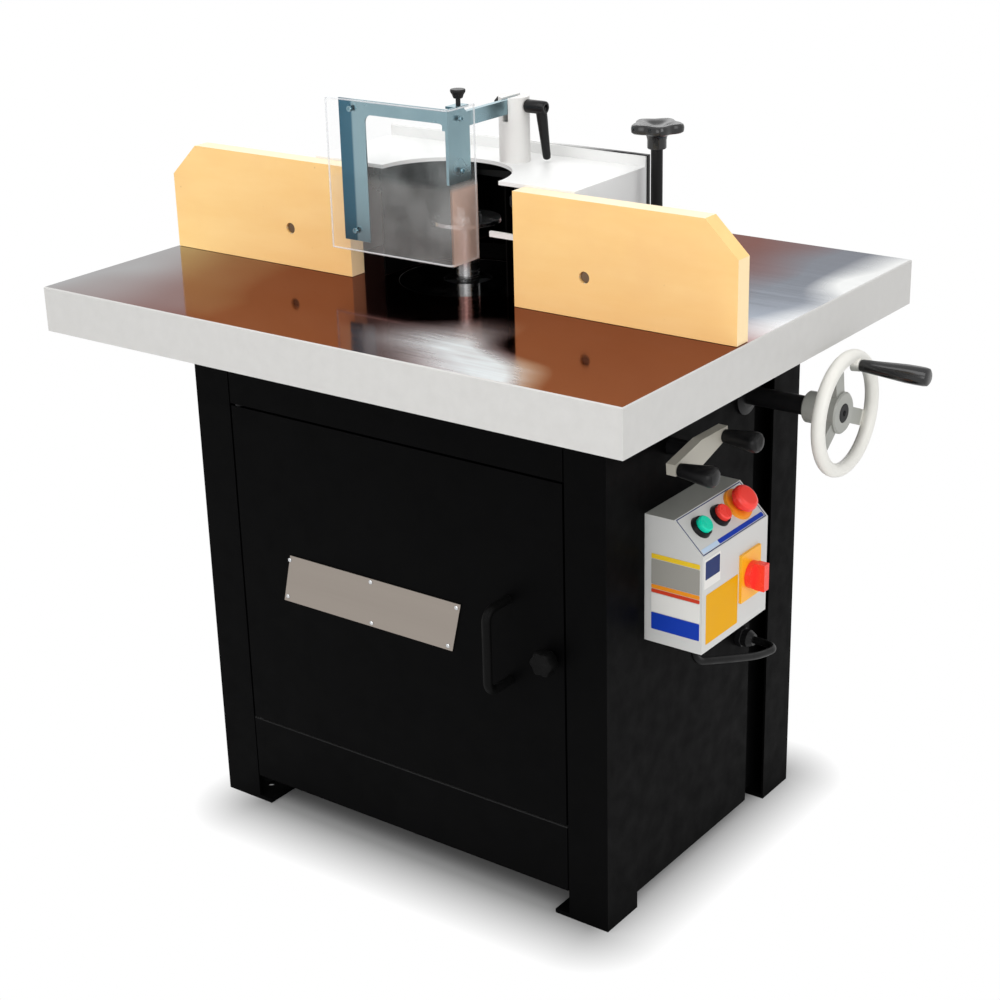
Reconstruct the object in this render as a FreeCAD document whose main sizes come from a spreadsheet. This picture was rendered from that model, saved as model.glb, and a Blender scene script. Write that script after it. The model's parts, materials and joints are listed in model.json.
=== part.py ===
"""Spindle moulder with a rising spindle, a slotted fence hood and a tilting guard.

Frame: millimetres, +Z up, +X to the operator's right, +Y away from the operator.
The origin is on the floor, in the middle of the four anchor holes.
"""
import FreeCAD, Part
import math
import os
import re
import Sketcher

# Driving dimensions, one row of the sheet each
DIMENSIONS = {
    # clearances shared by all pieces
    "overrun": 5,
    "running_gap": 0.3,
    "fit_gap": 0.05,
    "seat_gap": 0.02,
    "slide_gap": 0.5,
    # table
    "table_length": 900,
    "table_width": 700,
    "table_height": 780,
    "table_edge": 60,
    "table_plate": 18,
    "table_wall": 16,
    "table_forward": 32.5,
    "table_bevel": 1.5,
    "rib_width": 20,
    "rib_x": 305,
    "ring_diameter": 180,
    "ring_depth": 10,
    "ring_ledge": 8,
    "inner_ring_diameter": 120,
    "inner_ring_depth": 5,
    "inner_ring_bore": 64,
    "table_bolt_diameter": 10,
    "table_bolt_head": 17,
    "table_bolt_head_height": 6.7,
    "table_bolt_grip": 22,
    "table_bolt_y": 100,
    # cabinet
    "cabinet_width": 665,
    "cabinet_depth": 475,
    "post_front": 60,
    "post_side": 70,
    "post_sheet": 3,
    "foot_length": 82,
    "foot_width": 70,
    "foot_plate": 6,
    "anchor_hole": 13,
    "anchor_inset_x": 50,
    "anchor_inset_y": 35,
    "top_flange": 50,
    "top_flange_sheet": 6,
    "kick_bottom": 40,
    "rail_return": 20,
    "seam_width": 2,
    "seam_depth": 1.5,
    "panel_sheet": 2,
    "panel_bottom": 20,
    "panel_top_gap": 8,
    "recess_width": 47,
    "recess_depth": 15,
    # door
    "door_bottom": 137,
    "fascia_height": 113,
    "door_gap": 3,
    "door_sheet": 2,
    "door_return": 20,
    "pivot_inset": 10,
    "pivot_depth": 8,
    "pin_diameter": 8,
    "pin_collar": 15,
    "pin_reach": 8,
    "handle_x": 185,
    "handle_rise": 7,
    "handle_length": 113,
    "handle_reach": 46,
    "handle_rod": 12,
    "handle_bend": 16,
    "latch_x": 250,
    "latch_drop": 1,
    "latch_shaft": 10,
    "latch_stem": 8,
    "latch_stem_diameter": 18,
    "latch_knob": 36,
    "latch_knob_length": 18,
    "latch_flute": 10,
    "cam_gap": 1.5,
    "cam_width": 14,
    "cam_length": 38,
    "cam_sheet": 4,
    "strike_inset": 4,
    "strike_width": 20,
    "strike_height": 64,
    "plate_x": -42,
    "plate_rise": 2,
    "plate_width": 306,
    "plate_height": 70,
    "plate_slant": 16,
    "plate_sheet": 1.5,
    # guide bracket and columns under the table
    "bracket_half_x": 125,
    "bracket_front": -130,
    "bracket_back": 142,
    "bracket_plate": 20,
    "bracket_hole": 124,
    "bracket_web": 17,
    "web_half_x": 60,
    "lower_half_x": 90,
    "lower_front": 8,
    "bracket_drop": 342,
    "lower_plate": 20,
    "column_x": 65,
    "column_y": 30,
    "column_diameter": 28,
    "lug_sheet": 18,
    "lock_lug_x": 75,
    "shaft_lug_x": 40,
    "lug_wall": 12,
    # carriage
    "carriage_left": -290,
    "carriage_right": 92,
    "carriage_front": -140,
    "carriage_back": 112,
    "carriage_drop": 260,
    "carriage_plate": 40,
    "housing_diameter": 110,
    "housing_height": 130,
    "housing_bore": 80,
    "cap_bore": 52,
    "cap_depth": 8,
    "bearing_width": 25,
    "bearing_inset": 10,
    # spindle
    "spindle_forward": 57.5,
    "spindle_diameter": 30,
    "spindle_reach": 75,
    "journal_diameter": 45,
    "journal_under": 15,
    "journal_over": 12,
    "tail_diameter": 28,
    "tail_under": 7,
    "disc_diameter": 90,
    "disc_thickness": 5,
    "disc_hub": 40,
    "disc_hub_height": 5,
    "draw_bolt": 12,
    "draw_bolt_depth": 30,
    "bolt_head": 22,
    "bolt_head_height": 10,
    # drive
    "spindle_pulley": 60,
    "motor_pulley": 100,
    "pulley_drop": 75,
    "pulley_width": 30,
    "belt_width": 26,
    "belt_thickness": 4,
    "motor_x": -200,
    "motor_diameter": 180,
    "motor_length": 230,
    "motor_flange": 190,
    "motor_flange_sheet": 12,
    "motor_drop": 88,
    "cover_diameter": 168,
    "cover_length": 50,
    "terminal_width": 80,
    "terminal_height": 90,
    "terminal_depth": 45,
    "motor_shaft": 28,
    "motor_shaft_depth": 120,
    "pillar_spread": 70,
    "pillar_diameter": 20,
    # height drive
    "wheel_y": 97,
    "wheel_drop": 85,
    "screw_diameter": 20,
    "screw_neck": 16,
    "screw_neck_reach": 12,
    "gear_diameter": 50,
    "gear_tip": 20,
    "gear_collar": 5,
    "shaft_diameter": 25,
    "bush_flange": 54,
    "bush_flange_sheet": 6,
    "bush_sleeve": 34,
    "bush_reach": 12,
    "wheel_x": 472,
    "wheel_diameter": 164,
    "rim_diameter": 18,
    "hub_diameter": 41,
    "hub_bevel": 2,
    "boss_diameter": 54,
    "boss_depth": 14,
    "boss_flare": 6,
    "hub_back": 419,
    "hub_front": 470,
    "spoke_width": 21,
    "spoke_sheet": 8,
    "spoke_set": 4,
    "spoke_angle": -22,
    "spoke_reach": 68,
    "crank_angle": 76,
    "crank_radius": 63,
    "crank_stud": 8,
    "crank_gap": 2,
    "crank_length": 92,
    "crank_swell": 60,
    "crank_root": 16,
    "crank_end": 24,
    "crank_round": 4,
    # height lock
    "lock_y": -89.5,
    "lock_drop": 98,
    "lock_screw": 22,
    "lock_tip": 52,
    "lock_bar_x": 362,
    "lock_bar_sheet": 13,
    "lock_bar_half": 62,
    "lock_bar_middle": 17,
    "lock_bar_end": 10,
    "lock_tilt": 6,
    "grip_place": 53,
    "grip_length": 52,
    "grip_root": 17,
    "grip_end": 27,
    "grip_round": 7,
    "grip_shoulder": 14,
    "grip_ease": 1.75,
    # control box
    "box_front": -147.5,
    "box_width": 160,
    "box_drop": 168,
    "box_height": 170,
    "box_depth": 82.5,
    "box_slope_run": 41,
    "box_slope_drop": 40,
    "box_wall": 2.5,
    "button_rise": 4,
    "start_y": -114,
    "stop_y": -69,
    "emergency_y": -25,
    "bezel_diameter": 30,
    "bezel_height": 6,
    "bezel_bevel": 1.5,
    "button_diameter": 22,
    "button_height": 5,
    "button_bevel": 1.5,
    "button_neck": 14,
    "button_depth": 18,
    "collar_diameter": 44,
    "collar_height": 4,
    "collar_bevel": 1,
    "mushroom_diameter": 36,
    "mushroom_neck": 22,
    "mushroom_neck_height": 8,
    "mushroom_height": 11,
    "mushroom_round": 5,
    "mushroom_ease": 1.7,
    "isolator_y": -34,
    "isolator_rise": 68,
    "isolator_width": 48,
    "isolator_height": 65,
    "isolator_sheet": 4,
    "isolator_knob": 36,
    "isolator_knob_height": 8,
    "isolator_grip": 12,
    "isolator_grip_height": 14,
    "isolator_shaft": 8,
    "isolator_shaft_depth": 12,
    "gland_x": 372,
    "gland_y": -97.5,
    "gland_length": 20,
    "gland_diameter": 24,
    "gland_nose": 16,
    "gland_nose_length": 7,
    "inlet_y": 92,
    "inlet_drop": 92,
    "inlet_length": 24,
    "cable_diameter": 10,
    "sag_start_drop": 41,
    "sag_low_x": 384,
    "sag_low_y": -35,
    "sag_low_drop": 60,
    "sag_end_x": 392,
    "sag_end_y": 35,
    "sag_end_drop": 82,
    "inlet_bend_x": 392,
    # fence hood
    "hood_half": 205.5,
    "hood_height": 148,
    "hood_plate": 5,
    "hood_sheet": 3,
    "hood_front": -110.2,
    "notch_radius": 92,
    "hood_back": 47.5,
    "rear_lip": 13,
    "back_sheet": 6,
    "back_margin": 1.5,
    "duct_half": 110,
    "duct_depth": 90,
    "duct_rise": 112,
    "wing_reach": 64.5,
    "wing_front": -20,
    "wing_back": 80,
    "wing_sheet": 4,
    "spigot_diameter": 100,
    "spigot_length": 40,
    "spigot_wall": 2,
    "spigot_rise": 57,
    "deflector_half": 100,
    "deflector_sheet": 2,
    "deflector_window": 100,
    "deflector_sill": 20,
    # fence
    "board_gap": 131,
    "board_length": 315,
    "board_height": 145,
    "board_thickness": 25,
    "board_cut_x": 45,
    "board_cut_z": 43,
    "fence_bolt_offset": 29.5,
    "fence_bolt_rise": 52,
    "fence_bolt": 8,
    "fence_bolt_head": 13,
    "fence_bolt_head_height": 6,
    "counterbore": 15,
    "counterbore_depth": 9,
    "fence_nut": 20,
    "fence_nut_height": 9,
    "fence_plate_sheet": 4,
    "fence_plate_inner": 135,
    "fence_plate_outer": 400,
    "fence_slot_in": 15,
    "fence_slot_out": 30,
    "tongue_inner": 76,
    "tongue_rise": 76,
    "tongue_height": 7,
    # hood clamps
    "clamp_offset": 29.5,
    "clamp_y": 27.5,
    "clamp_stud": 12,
    "clamp_stud_depth": 14,
    "clamp_tube": 15,
    "clamp_washer": 30,
    "clamp_washer_sheet": 4,
    "clamp_slot_travel": 25,
    "tall_clamp_height": 178,
    "low_clamp_height": 70,
    "tall_knob": 68,
    "tall_knob_height": 12,
    "tall_knob_flute": 17,
    "tall_knob_hub": 40,
    "tall_knob_root": 27,
    "tall_knob_hub_height": 20,
    "low_knob": 44,
    "low_knob_height": 18,
    "low_knob_flute": 11,
    "low_knob_hub": 26,
    "low_knob_root": 18,
    "low_knob_hub_height": 8,
    "knob_bore_depth": 16,
    # guard
    "post_x": 41,
    "post_y": -4,
    "post_diameter": 40,
    "post_height": 83,
    "arm_drop": 11,
    "arm_height": 18,
    "arm_sheet": 8,
    "arm_tail": 12,
    "fork_depth": 30,
    "lever_screw": 8,
    "lever_hub": 17,
    "lever_hub_length": 30,
    "lever_root": 14.5,
    "lever_end": 10,
    "lever_length": 69,
    "lever_angle": 190,
    "lever_nut": 16,
    "lever_nut_height": 6,
    "shield_front": -153.5,
    "shield_sheet": 3,
    "shield_left": -147,
    "shield_gap": 42,
    "shield_step": 7,
    "shield_wing_back": -97.5,
    "bracket_zinc": 2,
    "bracket_left": -126,
    "bracket_leg": 42,
    "bracket_leg_step": 14,
    "bracket_bar": 18,
    "bracket_right_leg": 4,
    "window_round": 10,
    "flange_height": 93,
    "flange_back": -106,
    "flange_round": 14,
    "thumb_y": -120,
    "thumb_step": 9,
    "thumb_height": 11,
    "thumb_flare": 7.3,
    "thumb_top": 19,
    "thumb_bottom": 12,
    "thumb_screw": 6,
    "thumb_lug_width": 16,
    "thumb_lug_length": 26,
    "thumb_lug_sheet": 3,
}

# Counts
KNOB_LOBES = 5
LATCH_LOBES = 6
SPOKES = 3
HEX_SIDES = 6
HALF_FLAT = 30
FULL_TURN = 360
QUARTER_TURN = 90

# Share of the shorter run that a bend may take up, and of a flute that stands outside its knob
RUN_SHARE = 0.45
FLUTE_SHARE = 0.25

# Places worked out from the driving dimensions
PLACES = {
    "table_half": "table_length / 2",
    "table_front": "-table_forward - table_width / 2",
    "table_back": "table_width / 2 - table_forward",
    "table_under": "table_height - table_plate",
    "cabinet_top": "table_height - table_edge",
    "half_x": "cabinet_width / 2",
    "half_y": "cabinet_depth / 2",
    "inside_x": "half_x - post_sheet",
    "inside_y": "half_y - post_sheet",
    "door_half": "half_x - post_front",
    "door_front": "-half_y",
    "door_left": "door_gap - door_half",
    "door_right": "door_half - door_gap",
    "door_top": "cabinet_top - fascia_height",
    "door_middle": "(door_bottom + door_top) / 2",
    "handle_z": "door_middle + handle_rise",
    "latch_z": "door_middle - latch_drop",
    "plate_z": "door_middle + plate_rise",
    "pivot_x": "door_left + pivot_inset",
    "pivot_y": "door_front + pivot_depth",
    "anchor_x": "half_x - anchor_inset_x",
    "anchor_y": "half_y - anchor_inset_y",
    "cam_front": "door_front + door_return + cam_gap",
    "cam_back": "cam_front + cam_sheet",
    "panel_top": "cabinet_top - panel_top_gap",
    "recess_start": "half_y - post_side - recess_width",
    "spindle_y": "-spindle_forward",
    "bracket_under": "table_under - bracket_plate",
    "lower_z": "table_height - bracket_drop",
    "lower_top": "lower_z + lower_plate",
    "carriage_bottom": "table_height - carriage_drop",
    "carriage_top": "carriage_bottom + carriage_plate",
    "housing_top": "carriage_top + housing_height",
    "upper_bearing": "housing_top - cap_depth - bearing_width",
    "lower_bearing": "carriage_bottom + bearing_inset",
    "spindle_top": "table_height + spindle_reach",
    "journal_bottom": "carriage_bottom - journal_under",
    "journal_top": "housing_top + journal_over",
    "pulley_bottom": "carriage_bottom - pulley_drop",
    "tail_bottom": "pulley_bottom - tail_under",
    "motor_flange_top": "carriage_bottom - motor_drop",
    "pulley_top": "pulley_bottom + pulley_width",
    "belt_bottom": "pulley_bottom + (pulley_width - belt_width) / 2",
    "motor_bottom": "motor_flange_top - motor_flange_sheet - motor_length",
    "wheel_z": "cabinet_top - wheel_drop",
    "gear_bottom": "wheel_z - gear_diameter / 2",
    "gear_top": "wheel_z - gear_tip / 2",
    "crank_y": "wheel_y + crank_radius * cos(crank_angle)",
    "crank_z": "wheel_z + crank_radius * sin(crank_angle)",
    "crank_start": "wheel_x + rim_diameter / 2 + crank_gap",
    "crank_finish": "crank_start + crank_length",
    "lock_z": "cabinet_top - lock_drop",
    "lock_bar_front": "lock_bar_x + lock_bar_sheet",
    "box_out": "inside_x + box_depth",
    "box_back": "box_front + box_width",
    "box_top": "cabinet_top - box_drop",
    "box_bottom": "box_top - box_height",
    "isolator_z": "box_bottom + isolator_rise",
    "inlet_z": "box_bottom - inlet_drop",
    "sag_start_z": "box_bottom - sag_start_drop",
    "sag_low_z": "box_bottom - sag_low_drop",
    "sag_end_z": "box_bottom - sag_end_drop",
    "slope_angle": "atan(box_slope_drop / box_slope_run)",
    "slope_x": "box_out - box_slope_run / 2 - button_rise * cos(slope_angle)",
    "slope_z": "box_top - box_slope_drop / 2 + button_rise * sin(slope_angle)",
    "isolator_face": "box_out + isolator_sheet",
    "gland_end": "box_bottom - gland_length",
    "inlet_end": "inside_x + inlet_length",
    "hood_bottom": "table_height + slide_gap",
    "hood_top": "table_height + hood_height",
    "hood_rear": "hood_back + hood_sheet",
    "lip_top": "hood_top + rear_lip",
    "plate_front": "hood_rear + seat_gap",
    "duct_back": "plate_front + back_sheet + duct_depth",
    "duct_top": "table_height + duct_rise",
    "wing_half": "hood_half + wing_reach",
    "spigot_z": "table_height + spigot_rise",
    "clamp_x": "hood_half + clamp_offset",
    "tall_clamp_top": "table_height + tall_clamp_height",
    "low_clamp_top": "table_height + low_clamp_height",
    "hood_under": "hood_top - hood_plate",
    "fence_back": "hood_front + fence_plate_sheet",
    "fence_bolt_x": "hood_half + fence_bolt_offset",
    "fence_bolt_z": "table_height + fence_bolt_rise",
    "tongue_z": "table_height + tongue_rise",
    "board_back": "hood_front - running_gap",
    "board_front": "board_back - board_thickness",
    "board_outer": "board_gap + board_length",
    "board_bottom": "table_height + slide_gap",
    "board_top": "board_bottom + board_height",
    "wing_top": "hood_bottom + wing_sheet",
    "post_top": "hood_top + post_height",
    "arm_z": "post_top - arm_drop",
    "shield_bottom": "table_height + shield_gap",
    "shield_top": "post_top + shield_step",
    "bracket_leg_bottom": "shield_bottom + bracket_leg_step",
    "flange_bottom": "shield_top - flange_height",
    "thumb_z": "shield_top + thumb_step",
    "arm_right": "post_x + arm_sheet / 2",
    "arm_left": "post_x - arm_sheet / 2",
    "shield_back": "shield_front + shield_sheet",
    "zinc_back": "shield_back + bracket_zinc",
    "flange_right": "arm_right + bracket_zinc",
    "window_top": "shield_top - bracket_bar",
    "window_left": "bracket_left + bracket_leg",
    "window_right": "flange_right - bracket_right_leg",
}

doc = FreeCAD.newDocument("SpindleMoulder")
sheet = doc.addObject("Spreadsheet::Sheet", "Dims")
for row, (alias, number) in enumerate(DIMENSIONS.items(), start=1):
    sheet.set("A%d" % row, alias)
    sheet.set("B%d" % row, str(number))
    sheet.setAlias("B%d" % row, alias)
doc.recompute()

NODES = {}
WORD = re.compile(r"[a-z][a-z0-9_]*")
TURN_TO = {
    "x": FreeCAD.Rotation(FreeCAD.Vector(0, 1, 0), QUARTER_TURN),
    "y": FreeCAD.Rotation(FreeCAD.Vector(1, 0, 0), -QUARTER_TURN),
    "z": FreeCAD.Rotation(),
}
AXES = "xyz"


# Helpers: formulas and placing
def formula(text):
    """The expression for a formula, with places spelled out and sizes read from the sheet."""

    def spell(match):
        word = match.group(0)
        if word in PLACES:
            return "(" + formula(PLACES[word]) + ")"
        if word in DIMENSIONS:
            return "Dims." + word
        return word

    return WORD.sub(spell, text)


def bind(obj, path, text):
    obj.setExpression(path, formula(text))


def ends(span):
    """The two formulas of a span written as 'low : high'."""
    low, high = span.split(" : ")
    return low, high


def length_of(span):
    low, high = ends(span)
    return "(%s) - (%s)" % (high, low)


def put(obj, axis, along, across):
    """Turn an upright object along an axis, starting at along, centred on the other two places."""
    obj.Placement = FreeCAD.Placement(FreeCAD.Vector(), TURN_TO[axis])
    places = list(across)
    places.insert(AXES.index(axis), along)
    for name, text in zip(AXES, places):
        bind(obj, "Placement.Base." + name, text)


def node(name, obj):
    """Register a finished sub-part under its own label."""
    obj.Label = name
    NODES[name] = obj
    return obj


# Helpers: primitives, booleans and bodies
def block(name, x, y, z):
    obj = doc.addObject("Part::Box", name)
    for prop, axis, span in zip(("Length", "Width", "Height"), AXES, (x, y, z)):
        bind(obj, prop, length_of(span))
        bind(obj, "Placement.Base." + axis, ends(span)[0])
    return obj


def rod(name, axis, radius, span, *across):
    obj = doc.addObject("Part::Cylinder", name)
    bind(obj, "Radius", radius)
    bind(obj, "Height", length_of(span))
    put(obj, axis, ends(span)[0], across)
    return obj


def taper(name, axis, radii, span, *across):
    obj = doc.addObject("Part::Cone", name)
    bind(obj, "Radius1", ends(radii)[0])
    bind(obj, "Radius2", ends(radii)[1])
    bind(obj, "Height", length_of(span))
    put(obj, axis, ends(span)[0], across)
    return obj


def fuse(name, *pieces):
    obj = doc.addObject("Part::MultiFuse", name)
    obj.Shapes = list(pieces)
    obj.Refine = True
    return obj


def group(name, *pieces):
    """Separate solids that share one node."""
    obj = doc.addObject("Part::Compound", name)
    obj.Links = list(pieces)
    return obj


def cut(name, base, *tools):
    obj = doc.addObject("Part::Cut", name)
    obj.Base = base
    obj.Tool = tools[0] if len(tools) == 1 else fuse(name + "_tools", *tools)
    obj.Refine = True
    return obj


def mirror(name, source, normal):
    obj = doc.addObject("Part::Mirroring", name)
    obj.Source = source
    obj.Normal = FreeCAD.Vector(*normal)
    return obj


def mirror_x(name, source):
    return mirror(name, source, (1, 0, 0))


def mirror_y(name, source):
    return mirror(name, source, (0, 1, 0))


def outline(body, name, role, points):
    """A closed sketch on one origin plane, each corner held by formulas."""
    sketch = body.newObject("Sketcher::SketchObject", name + "_outline")
    plane = [item for item in body.Origin.OriginFeatures if item.Role == role][0]
    sketch.AttachmentSupport = [(plane, "")]
    sketch.MapMode = "FlatFace"
    count = len(points)
    start = [FreeCAD.Vector(math.cos(turn), math.sin(turn), 0)
             for turn in (2 * math.pi * index / count for index in range(count))]
    for index in range(count):
        sketch.addGeometry(Part.LineSegment(start[index], start[(index + 1) % count]), False)
    for index in range(count):
        sketch.addConstraint(Sketcher.Constraint("Coincident", index, 2, (index + 1) % count, 1))
    for index, corner in enumerate(points):
        for kind, text in zip(("DistanceX", "DistanceY"), corner):
            place = sketch.addConstraint(Sketcher.Constraint(kind, -1, 1, index, 1, 1.0))
            bind(sketch, "Constraints[%d]" % place, text)
    return sketch


def plate(name, role, points, span):
    """A body padded from an outline: XY_Plane along Z, XZ_Plane along Y, YZ_Plane along X."""
    body = doc.addObject("PartDesign::Body", name)
    sketch = outline(body, name, role, points)
    low, high = ends(span)
    bind(sketch, "AttachmentOffset.Base.z", "-(%s)" % high if role == "XZ_Plane" else low)
    pad = body.newObject("PartDesign::Pad", name + "_pad")
    pad.Profile = sketch
    bind(pad, "Length", length_of(span))
    body.Tip = pad
    return body


def turned(name, axis, profile, *across):
    """A body turned from a profile of (radius, place along the axis) corners."""
    body = doc.addObject("PartDesign::Body", name)
    sketch = outline(body, name, "XZ_Plane", profile)
    turn = body.newObject("PartDesign::Revolution", name + "_turn")
    turn.Profile = sketch
    turn.ReferenceAxis = (sketch, ["V_Axis"])
    turn.Angle = FULL_TURN
    body.Tip = turn
    put(body, axis, "0", across)
    return body


def around(count, index):
    return "%d" % (FULL_TURN * index // count) if FULL_TURN % count == 0 else (
        "%d * %d / %d" % (FULL_TURN, index, count))


def lobed(name, axis, diameter, span, lobes, flute, *across):
    """A knob whose edge is cut by a ring of flutes."""
    body = rod(name + "_blank", axis, diameter + " / 2", span, *across)
    low, high = ends(span)
    flutes = []
    for index in range(lobes):
        turn = around(lobes, index)
        ring = "((%s) / 2 + (%s) * %s)" % (diameter, flute, FLUTE_SHARE)
        first = "(%s) + %s * cos(%s)" % (across[0], ring, turn)
        second = "(%s) + %s * sin(%s)" % (across[1], ring, turn)
        flutes.append(rod("%s_flute_%d" % (name, index), axis, flute + " / 2",
                          "(%s) - overrun : (%s) + overrun" % (low, high), first, second))
    return cut(name + "_lobes", body, *flutes)


def bent_rod(name, points, radius, bend):
    """A round rod along straight runs joined by tangent arcs, as one solid."""
    corners = []
    for index, place in enumerate(points):
        corner = doc.addObject("Part::Vertex", "%s_point_%d" % (name, index))
        for prop, text in zip("XYZ", place):
            bind(corner, prop, text)
        corners.append(corner)
    doc.recompute()
    spots = [FreeCAD.Vector(item.X.Value, item.Y.Value, item.Z.Value) for item in corners]
    edges = []
    last = spots[0]
    for before, here, after in zip(spots, spots[1:], spots[2:]):
        inward = (before - here).normalize()
        outward = (after - here).normalize()
        half_turn = (math.pi - inward.getAngle(outward)) / 2
        shorter = min((before - here).Length, (after - here).Length)
        widest = RUN_SHARE * shorter / math.tan(half_turn)
        arc_radius = widest if bend is None else min(bend, widest)
        reach = arc_radius * math.tan(half_turn)
        middle_way = (inward + outward).normalize()
        depth = arc_radius / math.cos(half_turn) - arc_radius
        edges.append(Part.LineSegment(last, here + inward * reach).toShape())
        edges.append(Part.Arc(here + inward * reach, here + middle_way * depth,
                              here + outward * reach).toShape())
        last = here + outward * reach
        print(name, "bend radius", round(arc_radius, 1))
    edges.append(Part.LineSegment(last, spots[-1]).toShape())
    path = Part.Wire(edges)
    circle = Part.Circle(spots[0], spots[1] - spots[0], radius)
    section = Part.Wire([circle.toShape()])
    shape = path.makePipeShell([section], True, False)
    print(name, "length", round(path.Length, 1), "volume over section times length",
          round(shape.Volume / (math.pi * radius * radius * path.Length), 4))
    obj = doc.addObject("Part::Feature", name)
    obj.Shape = shape
    return obj


def size(alias):
    return float(sheet.get(alias))




# Cabinet
def make_cabinet():
    front = block("post_front_flange", "door_half : half_x", "-half_y : -inside_y",
                  "foot_plate : cabinet_top")
    side = block("post_side_flange", "inside_x : half_x", "-half_y : post_side - half_y",
                 "foot_plate : cabinet_top")
    sole = block("foot_sole", "half_x - foot_length : half_x", "-half_y : foot_width - half_y",
                 "0 : foot_plate")
    hole = rod("anchor", "z", "anchor_hole / 2", "-overrun : foot_plate + overrun", "anchor_x",
               "-anchor_y")
    corner = fuse("right_front_corner", front, side, cut("foot", sole, hole))
    pair = fuse("front_corners", corner, mirror_x("left_front_corner", corner))
    rear = mirror_y("rear_corners", pair)
    fascia = block("fascia", "-door_half : door_half", "-half_y : -inside_y",
                   "door_top + door_gap : cabinet_top")
    fascia_return = block("fascia_return", "-door_half : door_half", "-half_y : rail_return - half_y",
                          "door_top + door_gap : door_top + door_gap + post_sheet")
    kick = block("kick", "-door_half : door_half", "-half_y : -inside_y",
                 "kick_bottom : door_bottom - door_gap")
    kick_return = block("kick_return", "-door_half : door_half", "-half_y : rail_return - half_y",
                        "door_bottom - door_gap - post_sheet : door_bottom - door_gap")
    ring = cut("top_flange_ring",
               block("top_flange_outer", "-inside_x : inside_x", "-inside_y : inside_y",
                     "cabinet_top - top_flange_sheet : cabinet_top"),
               block("top_flange_inner", "top_flange - inside_x : inside_x - top_flange",
                     "top_flange - inside_y : inside_y - top_flange",
                     "cabinet_top - top_flange_sheet - overrun : cabinet_top + overrun"))
    strike = block("latch_strike", "door_half + strike_inset : door_half + strike_inset + strike_width",
                   "-inside_y : cam_front - slide_gap",
                   "latch_z - strike_height / 2 : latch_z + strike_height / 2")
    welded = fuse("welded_frame", pair, rear, fascia, fascia_return, kick, kick_return, ring, strike)
    pin_holes = rod("rail_pin_holes", "z", "pin_diameter / 2 + seat_gap",
                    "kick_bottom : cabinet_top - top_flange_sheet - overrun", "pivot_x", "pivot_y")
    bolt_holes = [rod("frame_bolt_hole", "z", "table_bolt_diameter / 2 + slide_gap",
                      "cabinet_top - top_flange_sheet - overrun : cabinet_top + overrun", x, y)
                  for x in ("rib_x", "-rib_x") for y in ("table_bolt_y", "-table_bolt_y")]
    seam = block("right_post_seam", "door_half - seam_width : door_half",
                 "-half_y - overrun : seam_depth - half_y", "kick_bottom - overrun : cabinet_top + overrun")
    seams = fuse("post_seams", seam, mirror_x("left_post_seam", seam))
    node("cabinet_frame", cut("cabinet_frame", welded, pin_holes, seams, *bolt_holes))

    left = block("left_panel", "-inside_x : panel_sheet - inside_x", "-inside_y : inside_y - panel_sheet",
                 "panel_bottom : panel_top")
    node("left_panel", left)
    node("rear_panel", block("rear_panel", "-inside_x : inside_x", "inside_y - panel_sheet : inside_y",
                             "panel_bottom : panel_top"))
    skin = [
        ("inside_x", "-inside_y"),
        ("inside_x", "recess_start"),
        ("inside_x - recess_depth", "recess_start"),
        ("inside_x - recess_depth", "inside_y - panel_sheet"),
        ("inside_x - recess_depth - panel_sheet", "inside_y - panel_sheet"),
        ("inside_x - recess_depth - panel_sheet", "recess_start - panel_sheet"),
        ("inside_x - panel_sheet", "recess_start - panel_sheet"),
        ("inside_x - panel_sheet", "-inside_y"),
    ]
    right = plate("right_skin", "XY_Plane", skin, "panel_bottom : panel_top")
    through = "inside_x - panel_sheet - overrun : inside_x + overrun"
    node("right_panel", cut(
        "right_panel", right,
        rod("bush_hole", "x", "bush_sleeve / 2 + seat_gap", through, "wheel_y", "wheel_z"),
        rod("lock_hole", "x", "lock_screw / 2 + running_gap", through, "lock_y", "lock_z"),
        rod("inlet_hole", "x", "cable_diameter / 2 + running_gap", through, "inlet_y", "inlet_z")))


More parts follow.
